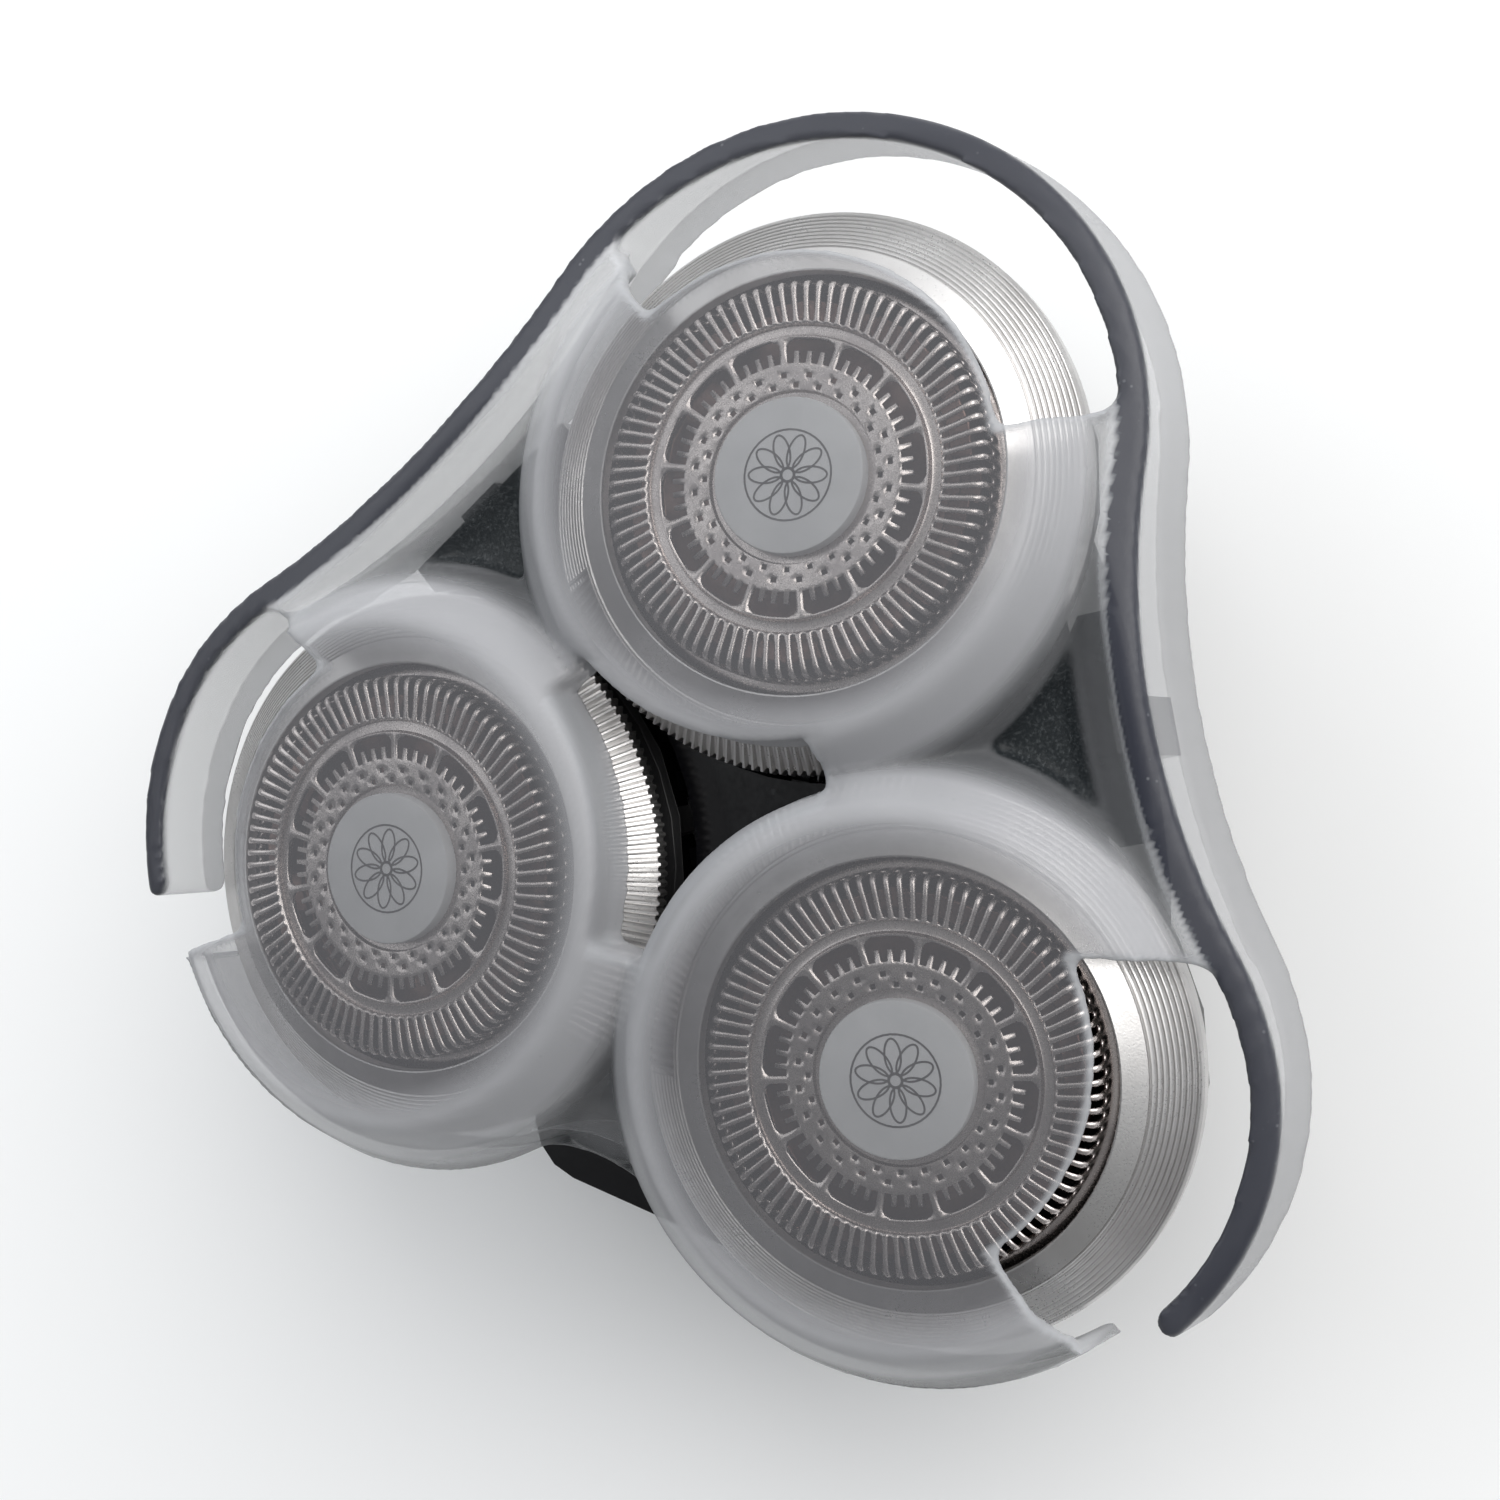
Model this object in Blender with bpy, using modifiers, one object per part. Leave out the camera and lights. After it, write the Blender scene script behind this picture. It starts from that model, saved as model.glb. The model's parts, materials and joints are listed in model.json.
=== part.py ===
# Detachable shaving unit of a three-head rotary shaver, with its clip-on protective cap.
# The unit frame has its origin on the drive axis, in the plane of the head centres, with +Y
# towards the top head. The root empty stands it on z = 0 with its box centred on the origin.

import math

import bmesh
import bpy
from mathutils import Matrix, Vector

MM = 0.001

# Driving dimensions, in millimetres
HEAD_Z = 34.0              # head centres above the foot of the coupling
AXIS_Y = -6.635            # drive axis, from the middle of the object's box
HEAD_CIRCLE_R = 19.43      # drive axis to head centre
HEAD_TILT = math.radians(7.0)
HEADS = {"top": 90.0, "left": 210.0, "right": 330.0}
GAP = 0.3                  # between neighbours that rest on each other

GUARD_R = 11.3             # rim of the slotted guard
BADGE_R = 4.42
RING_R = 16.1              # outer edge of the silver ring
CHAMBER_R = 15.7
CUTTER_R = 10.3

PIVOT_R = 3.2              # head pivot pin, from the drive axis
PIVOT_Z = -10.5
PIVOT_PIN_R = 0.75

LOBE_CENTRE = 21.3         # cap lobes, in plan
LOBE_R = 19.2
VALLEY_R = 27.3            # cap outline midway between two lobes
BAND_Z = -0.2              # top edge of the cap's wall, midway between two lobes
BAND_FALL = 0.30           # how steeply that edge drops outwards
FLOOR_Z = -3.0             # floor between the domes, inside the raised wall
SKIRT_Z = -10.6
WALL = 1.8
ARM_END = -25.0            # heading of the wall's free end, from its lobe's middle
WINDOW_BITE = 0.2          # the windows thin the wall by this much
DOME_FOOT_R = 17.6
DOME_TOP_R = 14.8
DOME_TOP_W = 2.0
DOME_WALL = 0.75
DOME_PLAN_CENTRE = 19.3
NOTCH_Y = 21.5             # cap outline between the two lower domes
TRIANGLE_R = 16.7          # sides of the middle opening, from each head axis
TRIANGLE_CORNER = 8.2

GEAR_MODULE = 0.8
DRIVE_TEETH = 27
DRIVEN_TEETH = 16
GEAR_CENTRES = GEAR_MODULE * (DRIVE_TEETH + DRIVEN_TEETH) / 2
GEAR_Z = (-24.5, -21.0)
BALL_W = -(HEAD_CIRCLE_R - GEAR_CENTRES) / math.sin(HEAD_TILT)

BASE_LOBE_R = 9.0          # base housing in plan: a lobe round each driven gear
BASE_VALLEY_R = 19.5       # drive axis to the housing's side midway between two gears
BASE_TOP_Z = -15.3
BASE_WALL = 1.4
BASE_ROOF = 1.5
TAB_Z = -19.4              # underside of the tab below the two lower heads
TAB_REACH = 27.1           # drive axis to the tab's edge
TAB_HALF = 10.5
PLATE_Z = (-26.7, -25.3)
SCREW_CIRCLE_R = 15.6
SCREW_ANGLES = {"right": 30.0, "left": 150.0, "bottom": 270.0}


# ---------------------------------------------------------------- collections and materials

for old in list(bpy.data.objects):
    bpy.data.objects.remove(old, do_unlink=True)

PARTS = bpy.data.collections.new("shaving_unit")
CUTTERS = bpy.data.collections.new("cutters")
bpy.context.scene.collection.children.link(PARTS)
bpy.context.scene.collection.children.link(CUTTERS)


def make_material(name, colour, roughness, metallic=0.0):
    material = bpy.data.materials.new(name)
    material.use_nodes = True
    shader = material.node_tree.nodes["Principled BSDF"]
    shader.inputs["Base Color"].default_value = (*colour, 1.0)
    shader.inputs["Roughness"].default_value = roughness
    shader.inputs["Metallic"].default_value = metallic
    return material


SMOKE = make_material("smoke_plastic", (0.42, 0.44, 0.48), 0.35)
GLOSS_BLACK = make_material("gloss_black_plastic", (0.012, 0.012, 0.014), 0.12)
SATIN_BLACK = make_material("satin_black_plastic", (0.02, 0.02, 0.022), 0.4)
SILVER = make_material("satin_silver", (0.72, 0.72, 0.73), 0.3, 1.0)
STEEL = make_material("guard_steel", (0.48, 0.45, 0.43), 0.28, 1.0)
BADGE_GREY = make_material("badge_grey", (0.6, 0.6, 0.6), 0.5)
BLADE_STEEL = make_material("blade_steel", (0.55, 0.52, 0.5), 0.25, 1.0)
PIN_STEEL = make_material("pin_steel", (0.6, 0.6, 0.6), 0.25, 1.0)
ACETAL = make_material("acetal_white", (0.78, 0.77, 0.72), 0.45)


# ---------------------------------------------------------------- placing

def polar(radius, degrees):
    angle = math.radians(degrees)
    return (radius * math.cos(angle), radius * math.sin(angle))


def unit_matrix(degrees, radius, height, tilt=0.0):
    # Local X points away from the drive axis; a tilt leans local Z outwards.
    turn = Matrix.Rotation(math.radians(degrees), 4, "Z")
    shift = Matrix.Translation((radius * MM, 0.0, height * MM))
    return turn @ shift @ Matrix.Rotation(tilt, 4, "Y")


def head_matrix(degrees):
    return unit_matrix(degrees, HEAD_CIRCLE_R, 0.0, HEAD_TILT)


def make_empty(name, matrix, parent=None):
    empty = bpy.data.objects.new(name, None)
    empty.empty_display_size = 0.004
    PARTS.objects.link(empty)
    attach(empty, parent, matrix)
    return empty


def attach(item, parent, matrix):
    # matrix is in the unit frame, wherever the parent empty stands in it
    item["unit_matrix"] = [value for row in matrix for value in row]
    item.parent = parent
    parent_matrix = Matrix.Identity(4)
    if parent is not None and "unit_matrix" in parent:
        flat = list(parent["unit_matrix"])
        parent_matrix = Matrix([flat[i:i + 4] for i in range(0, 16, 4)])
    item.matrix_local = parent_matrix.inverted() @ matrix


ROOT = bpy.data.objects.new("shaving_unit_root", None)
PARTS.objects.link(ROOT)
ROOT.location = (0.0, AXIS_Y * MM, HEAD_Z * MM)


# ---------------------------------------------------------------- shapes

def add_object(name, mesh, material, matrix, parent=ROOT):
    item = bpy.data.objects.new(name, mesh)
    if material is None:
        CUTTERS.objects.link(item)
        item.hide_render = True
        item.display_type = "WIRE"
    else:
        PARTS.objects.link(item)
        mesh.materials.append(material)
    attach(item, parent, matrix)
    return item


def turned(name, profile, steps, material, matrix=Matrix.Identity(4), parent=ROOT):
    # profile is (radius, height) pairs in mm, running down its outer side
    mesh = bpy.data.meshes.new(name)
    points = [(r * MM, 0.0, h * MM) for r, h in profile]
    closed = profile[0][0] > 0.0
    edges = [(i, i + 1) for i in range(len(points) - 1)]
    if closed:
        edges.append((len(points) - 1, 0))
    mesh.from_pydata(points, edges, [])
    item = add_object(name, mesh, material, matrix, parent)
    screw = item.modifiers.new("turn", "SCREW")
    screw.axis = "Z"
    screw.angle = 2.0 * math.pi
    screw.steps = steps
    screw.render_steps = steps
    screw.use_merge_vertices = True
    screw.merge_threshold = 0.000005
    screw.use_smooth_shade = True
    return item


def smooth(item, degrees=35.0):
    item.data.shade_smooth()
    item.data.set_sharp_from_angle(angle=math.radians(degrees))


def prism(name, outline, low, high, material, matrix=Matrix.Identity(4), parent=ROOT):
    mesh = bpy.data.meshes.new(name)
    solid = bmesh.new()
    corners = [solid.verts.new((x * MM, y * MM, low * MM)) for x, y in outline]
    rim = [solid.edges.new((corners[i - 1], corners[i])) for i in range(len(corners))]
    base = bmesh.ops.edgeloop_fill(solid, edges=rim)["faces"]
    grown = bmesh.ops.extrude_face_region(solid, geom=base)["geom"]
    lifted = [part for part in grown if isinstance(part, bmesh.types.BMVert)]
    bmesh.ops.translate(solid, verts=lifted, vec=Vector((0.0, 0.0, (high - low) * MM)))
    bmesh.ops.recalc_face_normals(solid, faces=solid.faces)
    solid.to_mesh(mesh)
    solid.free()
    item = add_object(name, mesh, material, matrix, parent)
    smooth(item)
    return item


def cylinder(name, radius, low, high, steps, material, matrix=Matrix.Identity(4), parent=ROOT):
    ring = [polar(radius, 360.0 * i / steps) for i in range(steps)]
    return prism(name, ring, low, high, material, matrix, parent)


def block(name, size, centre, material, matrix=Matrix.Identity(4), parent=ROOT):
    mesh = bpy.data.meshes.new(name)
    solid = bmesh.new()
    bmesh.ops.create_cube(solid, size=1.0)
    bmesh.ops.scale(solid, verts=solid.verts, vec=Vector(size) * MM)
    bmesh.ops.translate(solid, verts=solid.verts, vec=Vector(centre) * MM)
    solid.to_mesh(mesh)
    solid.free()
    return add_object(name, mesh, material, matrix, parent)


def combine(item, other, operation):
    change = item.modifiers.new(operation.lower(), "BOOLEAN")
    change.operation = operation
    change.object = other


def arc(centre, radius, start, stop, steps):
    points = []
    for i in range(steps + 1):
        x, y = polar(radius, start + (stop - start) * i / steps)
        points.append((centre[0] + x, centre[1] + y))
    return points


def ring_sector(name, inner, outer, middle, half_angle, low, high, material, matrix):
    steps = 10
    outline = arc((0.0, 0.0), outer, middle - half_angle, middle + half_angle, steps)
    outline += arc((0.0, 0.0), inner, middle + half_angle, middle - half_angle, steps)
    return prism(name, outline, low, high, material, matrix)


# ---------------------------------------------------------------- cap

def heading(point, centre):
    return math.degrees(math.atan2(point[1] - centre[1], point[0] - centre[0]))


def cap_outline(inset):
    # Right half, from the notch between the lower domes up to the top lobe, then its mirror.
    lobe_r = LOBE_R - inset
    valley_r = VALLEY_R - inset
    # fillet between two lobes: a circle outside, tangent to both
    step = lobe_r - valley_r
    centre_distance = (LOBE_CENTRE ** 2 - step ** 2) / (LOBE_CENTRE + 2.0 * step)
    scoop_r = centre_distance - valley_r
    scoop = polar(centre_distance, 30.0)
    top_lobe = polar(LOBE_CENTRE, 90.0)
    right_lobe = polar(LOBE_CENTRE, 330.0)

    # fillet between the two lower domes
    dome_inset = inset * DOME_WALL / WALL
    dome_r = DOME_FOOT_R - dome_inset
    dome = polar(DOME_PLAN_CENTRE, 330.0)
    drop = NOTCH_Y - dome_inset + dome[1]
    notch_r = (dome[0] ** 2 + drop ** 2 - dome_r ** 2) / (2.0 * (dome_r - drop))
    notch = (0.0, dome[1] - drop - notch_r)

    half = arc(notch, notch_r, 90.0, heading(dome, notch), 4)[:-1]
    half += arc(dome, dome_r, heading(notch, dome), -30.0 - 10.0, 10)
    half += arc(right_lobe, lobe_r, ARM_END, heading(scoop, right_lobe), 9)
    scoop_start = heading(right_lobe, scoop) % 360.0
    scoop_stop = heading(top_lobe, scoop) % 360.0
    half += arc(scoop, scoop_r, scoop_start, scoop_stop, 6)[1:-1]
    half += arc(top_lobe, lobe_r, heading(scoop, top_lobe), 90.0, 10)
    mirrored = [(-x, y) for x, y in reversed(half[1:-1])]
    return half + mirrored


def window_outline_top():
    head = polar(HEAD_CIRCLE_R + 0.2, 90.0)
    lobe = polar(LOBE_CENTRE, 90.0)
    reach = LOBE_R - WALL + WINDOW_BITE
    outline = arc(head, 12.4, 90.0 - 62.0, 90.0 + 62.0, 12)
    outline += arc(lobe, reach, 90.0 + 66.0, 90.0 - 66.0, 12)
    return outline


def window_outline_right():
    # The window runs round to the free end of the wall, and opens outwards below it.
    head = polar(HEAD_CIRCLE_R + 0.2, 330.0)
    edge = (head[0] + polar(2.5, 150.0)[0], head[1] + polar(2.5, 150.0)[1])
    lobe = polar(LOBE_CENTRE, 330.0)
    reach = LOBE_R - WALL + WINDOW_BITE
    outline = arc(edge, 12.9, -30.0 - 8.0, -30.0 + 73.0, 10)
    outline += arc(lobe, reach, -30.0 + 76.0, -30.0 + 5.0, 8)
    outline.append((lobe[0] + polar(24.0, -25.0)[0], lobe[1] + polar(24.0, -25.0)[1]))
    outline.append((head[0] + polar(24.0, -38.0)[0], head[1] + polar(24.0, -38.0)[1]))
    return outline


def triangle_outline():
    outline = []
    for degrees in sorted(HEADS.values()):
        head = polar(HEAD_CIRCLE_R, degrees)
        corner = polar(TRIANGLE_CORNER, degrees - 60.0)
        inward = degrees + 180.0
        swing = (heading(corner, head) - degrees) % 360.0 - 180.0
        outline += arc(head, TRIANGLE_R, inward + swing, inward - swing, 6)
    return outline


def dome_profile(shrink, low):
    top_w = DOME_TOP_W - shrink * 1.2
    foot_r = DOME_FOOT_R - shrink
    top_r = DOME_TOP_R - shrink * 0.8
    return [(0.0, top_w), (top_r, top_w), (top_r + 0.6, top_w - 0.3), (foot_r, -1.8 - shrink * 0.3),
            (foot_r, low), (0.0, low)]


def build_cap():
    # a shell whose side wall stands above its floor, three hollow domes, then the openings
    cap = prism("protective_cap", cap_outline(0.0), SKIRT_Z, FLOOR_Z, SMOKE)
    rim = prism("cut_rim", cap_outline(0.0), FLOOR_Z - 0.6, BAND_Z + 3.0, None)
    combine(rim, prism("cut_rim_inside", cap_outline(WALL), FLOOR_Z - 2.0, BAND_Z + 5.0, None),
            "DIFFERENCE")
    arm_end_y = LOBE_CENTRE * math.sin(math.radians(-30.0)) + LOBE_R * math.sin(math.radians(ARM_END))
    combine(rim, block("cut_rim_end", (100.0, 40.0, 30.0), (0.0, arm_end_y - 20.2, 0.0), None),
            "DIFFERENCE")
    combine(cap, rim, "UNION")
    slope = [(0.0, BAND_Z + BAND_FALL * VALLEY_R), (60.0, BAND_Z + BAND_FALL * (VALLEY_R - 60.0)),
             (60.0, SKIRT_Z - 8.0), (0.0, SKIRT_Z - 8.0)]
    combine(cap, turned("cut_slope", slope, 36, None), "INTERSECT")
    for side, degrees in HEADS.items():
        dome = turned("cut_dome_" + side, dome_profile(0.0, -7.0), 32, None, head_matrix(degrees))
        combine(cap, dome, "UNION")
    hollow = prism("cut_cap_hollow", cap_outline(WALL), SKIRT_Z - 2.0, FLOOR_Z - 0.9, None)
    combine(cap, hollow, "DIFFERENCE")
    for side, degrees in HEADS.items():
        inside = turned("cut_inside_" + side, dome_profile(DOME_WALL, -9.0), 32, None,
                        head_matrix(degrees))
        combine(cap, inside, "DIFFERENCE")
    right = window_outline_right()
    windows = {"top": window_outline_top(), "right": right,
               "left": [(-x, y) for x, y in reversed(right)]}
    for side, outline in windows.items():
        window = prism("cut_window_" + side, outline, SKIRT_Z - 3.0, 6.0, None)
        combine(cap, window, "DIFFERENCE")
    middle = prism("cut_triangle", triangle_outline(), SKIRT_Z - 3.0, 6.0, None)
    combine(cap, middle, "DIFFERENCE")


# ---------------------------------------------------------------- heads

def build_guard(side, matrix, parent):
    profile = [(0.0, -0.3), (4.7, -0.3), (4.7, 0.0), (7.9, 0.0), (8.1, -0.4), (8.6, -0.4),
               (8.8, 0.0), (10.9, 0.0), (GUARD_R, -0.4), (GUARD_R, -2.7), (12.5, -2.7),
               (12.5, -3.2), (10.8, -3.2), (10.8, -0.75), (0.0, -0.75)]
    turned("guard_" + side, profile, 26, STEEL, matrix, parent)
    cylinder("guard_badge_" + side, BADGE_R, 0.0, 0.56, 20, BADGE_GREY, matrix, parent)


def build_silver_ring(side, matrix, parent):
    profile = [(12.0, -1.2), (13.6, -1.9), (RING_R, -3.9), (RING_R, -5.0), (15.2, -5.0),
               (15.2, -4.3), (13.0, -2.4), (12.0, -2.1)]
    ring = turned("silver_ring_" + side, profile, 32, SILVER, matrix, parent)
    apron = ring_sector("cut_apron_" + side, 15.2, 15.95, 180.0, 52.0, -7.2, -4.8, None, matrix)
    combine(ring, apron, "UNION")


def build_retaining_ring(side, matrix, parent):
    profile = [(11.9, -4.4), (14.9, -4.4), (14.9, -5.0), (11.9, -5.0)]
    turned("retaining_ring_" + side, profile, 26, SATIN_BLACK, matrix, parent)


def build_hair_chamber(side, degrees, matrix, parent):
    profile = [(CHAMBER_R, -5.3), (CHAMBER_R, -7.4), (12.8, -9.2), (12.8, -11.6), (2.6, -11.6),
               (2.6, -10.8), (12.0, -10.8), (12.0, -8.8), (14.2, -7.2), (14.2, -5.3)]
    chamber = turned("hair_chamber_" + side, profile, 24, SATIN_BLACK, matrix, parent)
    pocket = ring_sector("cut_pocket_" + side, 14.9, 17.0, 180.0, 55.0, -7.5, -4.6, None, matrix)
    combine(chamber, pocket, "DIFFERENCE")

    # lug and eye that reach from the chamber's inner wall to the pivot pin
    pivot = unit_matrix(degrees, PIVOT_R, PIVOT_Z) @ Matrix.Rotation(math.pi / 2, 4, "X")
    lug = block("cut_lug_" + side, (3.4, 1.6, 2.6), (PIVOT_R + 2.0, 0.0, PIVOT_Z + 0.2), None,
                unit_matrix(degrees, 0.0, 0.0))
    eye = cylinder("cut_eye_" + side, 1.4, -1.3, 1.3, 16, None, pivot)
    bore = cylinder("cut_eye_bore_" + side, PIVOT_PIN_R + 0.25, -2.0, 2.0, 16, None, pivot)
    combine(chamber, lug, "UNION")
    combine(chamber, eye, "UNION")
    combine(chamber, bore, "DIFFERENCE")


def build_cutter(side, matrix, parent):
    profile = [(0.0, -2.4), (2.4, -2.4), (2.4, -2.9), (9.0, -2.9), (9.0, -1.05),
               (CUTTER_R, -1.05), (CUTTER_R, -3.6), (2.4, -3.6), (2.4, -4.6), (0.0, -4.6)]
    cutter = turned("cutter_" + side, profile, 20, BLADE_STEEL, matrix, parent)
    blades = 10
    star = []
    for i in range(blades):
        middle = 360.0 * i / blades
        star.append(polar(12.0, middle - 4.5))
        star.append(polar(12.0, middle + 4.5))
        star.append(polar(5.0, middle + 180.0 / blades))
    slots = prism("cut_slots_" + side, star, -2.6, 0.0, None, matrix)
    combine(cutter, slots, "DIFFERENCE")


def build_spindle(side, matrix, parent):
    ball = BALL_W
    profile = [(0.0, -4.9), (2.2, -4.9), (2.2, -5.7), (1.2, -6.1), (1.2, ball + 1.3),
               (1.7, ball + 0.6), (1.7, ball - 0.6), (1.2, ball - 1.1), (0.0, ball - 1.1)]
    turned("drive_spindle_" + side, profile, 12, ACETAL, matrix, parent)


def build_spring(side, matrix, parent):
    turns, per_turn, radius, wire = 3, 10, 1.4, 0.22
    low, high = -22.4, -19.9
    curve = bpy.data.curves.new("spring_wire_" + side, "CURVE")
    curve.dimensions = "3D"
    curve.bevel_depth = wire * MM
    curve.bevel_resolution = 1
    curve.use_fill_caps = True
    count = turns * per_turn + 1
    spline = curve.splines.new("POLY")
    spline.points.add(count - 1)
    for i, point in enumerate(spline.points):
        x, y = polar(radius, 360.0 * i / per_turn)
        z = low + (high - low) * i / (count - 1)
        point.co = (x * MM, y * MM, z * MM, 1.0)
    spring = bpy.data.objects.new("spindle_spring_" + side, curve)
    PARTS.objects.link(spring)
    curve.materials.append(PIN_STEEL)
    attach(spring, parent, matrix)


def build_pivot_pin(side, degrees):
    pivot = unit_matrix(degrees, PIVOT_R, PIVOT_Z) @ Matrix.Rotation(math.pi / 2, 4, "X")
    cylinder("pivot_pin_" + side, PIVOT_PIN_R, -3.1, 3.1, 14, PIN_STEEL, pivot)


def build_head(side, degrees):
    matrix = head_matrix(degrees)
    tilt = make_empty("head_tilt_axis_" + side, unit_matrix(degrees, PIVOT_R, PIVOT_Z), ROOT)
    slide = make_empty("guard_float_axis_" + side, matrix, tilt)
    build_hair_chamber(side, degrees, matrix, tilt)
    build_retaining_ring(side, matrix, tilt)
    build_silver_ring(side, matrix, tilt)
    build_guard(side, matrix, slide)
    build_cutter(side, matrix, slide)
    build_spindle(side, matrix, slide)
    build_pivot_pin(side, degrees)


# ---------------------------------------------------------------- gear train

def gear_outline(teeth, phase):
    pitch_r = teeth * GEAR_MODULE / 2
    tip_r = pitch_r + 0.85 * GEAR_MODULE
    root_r = pitch_r - 1.15 * GEAR_MODULE
    step = 360.0 / teeth
    outline = []
    for i in range(teeth):
        middle = phase + i * step
        for radius, share in ((root_r, -0.34), (tip_r, -0.13), (tip_r, 0.13), (root_r, 0.34)):
            outline.append(polar(radius, middle + share * step))
    return outline


def build_driven_gear(side, degrees):
    matrix = unit_matrix(degrees, GEAR_CENTRES, 0.0)
    axis = make_empty("driven_gear_axis_" + side, matrix, ROOT)
    # a gap between two teeth faces the drive gear
    phase = 180.0 + 180.0 / DRIVEN_TEETH
    outline = gear_outline(DRIVEN_TEETH, phase)
    gear = prism("driven_gear_" + side, outline, *GEAR_Z, ACETAL, matrix, axis)
    cup = cylinder("cut_cup_" + side, 3.6, GEAR_Z[0] + 0.5, -15.0, 20, None, matrix)
    hole = cylinder("cut_cup_hole_" + side, 2.8, -22.9, -14.0, 20, None, matrix)
    seat = cylinder("cut_axle_seat_" + side, 1.7, -25.0, -23.5, 16, None, matrix)
    combine(gear, cup, "UNION")
    combine(gear, hole, "DIFFERENCE")
    combine(gear, seat, "DIFFERENCE")
    build_spring(side, matrix, axis)
    cylinder("gear_axle_" + side, 1.4, -26.3, -23.9, 14, PIN_STEEL, matrix)


def build_drive():
    axis = make_empty("drive_axis", Matrix.Identity(4), ROOT)
    outline = gear_outline(DRIVE_TEETH, 90.0)
    gear = prism("drive_gear", outline, *GEAR_Z, ACETAL, Matrix.Identity(4), axis)
    bore = cylinder("cut_drive_bore", 2.3, -26.0, -20.0, 20, None)
    combine(gear, bore, "DIFFERENCE")
    profile = [(0.0, -20.6), (2.0, -20.6), (2.0, -27.4), (4.4, -27.9), (4.4, -32.6), (3.0, -32.6),
               (3.0, -28.8), (0.0, -28.8)]
    turned("drive_coupling", profile, 18, SATIN_BLACK, Matrix.Identity(4), axis)


# ---------------------------------------------------------------- base

def base_outline(inset):
    # lobes round the gears, joined by flat arcs that touch them from outside
    lobe_r = BASE_LOBE_R - inset
    reach = BASE_VALLEY_R - BASE_LOBE_R
    back = (GEAR_CENTRES ** 2 - reach ** 2) / (2.0 * reach - GEAR_CENTRES)
    side_r = BASE_VALLEY_R - inset + back
    outline = []
    for degrees in sorted(HEADS.values()):
        lobe = polar(GEAR_CENTRES, degrees)
        before = polar(-back, degrees - 60.0)
        after = polar(-back, degrees + 60.0)
        start = heading(lobe, before)
        stop = start + (heading(lobe, after) - start) % 360.0
        outline += arc(lobe, lobe_r, start, stop, 10)
        next_lobe = polar(GEAR_CENTRES, degrees + 120.0)
        start = heading(lobe, after)
        stop = start + (heading(next_lobe, after) - start) % 360.0
        outline += arc(after, side_r, start, stop, 4)[1:-1]
    return outline


def build_base_cover():
    cover = prism("base_cover", base_outline(0.0), PLATE_Z[0], BASE_TOP_Z, GLOSS_BLACK)
    corner = 4.0
    tab_outline = [(TAB_HALF, -12.0), (-TAB_HALF, -12.0)]
    tab_outline += arc((corner - TAB_HALF, corner - TAB_REACH), corner, 180.0, 270.0, 4)
    tab_outline += arc((TAB_HALF - corner, corner - TAB_REACH), corner, 270.0, 360.0, 4)
    tab = prism("cut_tab", tab_outline, TAB_Z, BASE_TOP_Z, None)
    cavity = prism("cut_cavity", base_outline(BASE_WALL), PLATE_Z[0] - 1.0,
                   BASE_TOP_Z - BASE_ROOF, None)
    middle = cylinder("cut_cover_middle", 7.0, -18.0, -14.0, 32, None)
    combine(cover, tab, "UNION")
    combine(cover, cavity, "DIFFERENCE")
    combine(cover, middle, "DIFFERENCE")
    for side, degrees in HEADS.items():
        matrix = unit_matrix(degrees, GEAR_CENTRES, 0.0)
        hole = cylinder("cut_cover_hole_" + side, 4.1, -18.0, -14.0, 20, None, matrix)
        combine(cover, hole, "DIFFERENCE")
    for side, degrees in SCREW_ANGLES.items():
        matrix = unit_matrix(degrees, SCREW_CIRCLE_R, 0.0)
        boss = cylinder("cut_boss_" + side, 2.2, PLATE_Z[1] + GAP, -16.0, 14, None, matrix)
        pilot = cylinder("cut_pilot_" + side, 1.25, -26.0, -18.2, 12, None, matrix)
        combine(cover, boss, "UNION")
        combine(cover, pilot, "DIFFERENCE")


def build_gear_plate():
    plate = prism("gear_plate", base_outline(BASE_WALL + GAP), *PLATE_Z, SATIN_BLACK)
    middle = cylinder("cut_plate_hole", 2.7, -28.0, -24.0, 18, None)
    combine(plate, middle, "DIFFERENCE")
    for side, degrees in HEADS.items():
        matrix = unit_matrix(degrees, GEAR_CENTRES, 0.0)
        seat = cylinder("cut_plate_axle_" + side, 1.7, PLATE_Z[0] + 0.15, -24.0, 14, None, matrix)
        combine(plate, seat, "DIFFERENCE")
    for side, degrees in SCREW_ANGLES.items():
        matrix = unit_matrix(degrees, SCREW_CIRCLE_R, 0.0)
        hole = cylinder("cut_plate_screw_" + side, 1.3, -28.0, -24.0, 12, None, matrix)
        combine(plate, hole, "DIFFERENCE")
        profile = [(0.0, -19.0), (0.9, -19.0), (0.9, -27.0), (1.9, -27.0), (1.9, -27.8),
                   (0.0, -27.8)]
        turned("screw_" + side, profile, 12, PIN_STEEL, matrix)


def build_coupling_housing():
    profile = [(5.2, -27.0), (13.2, -27.0), (13.2, -28.4), (11.0, -28.4), (11.0, -HEAD_Z),
               (9.4, -HEAD_Z), (9.4, -28.4), (5.2, -28.4)]
    housing = turned("coupling_housing", profile, 28, SATIN_BLACK)
    for i in range(3):
        degrees = 90.0 + 120.0 * i
        lug = block("cut_lug_%d" % i, (1.6, 4.0, 1.6), (11.4, 0.0, -31.0), None,
                    unit_matrix(degrees, 0.0, 0.0))
        combine(housing, lug, "UNION")


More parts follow.
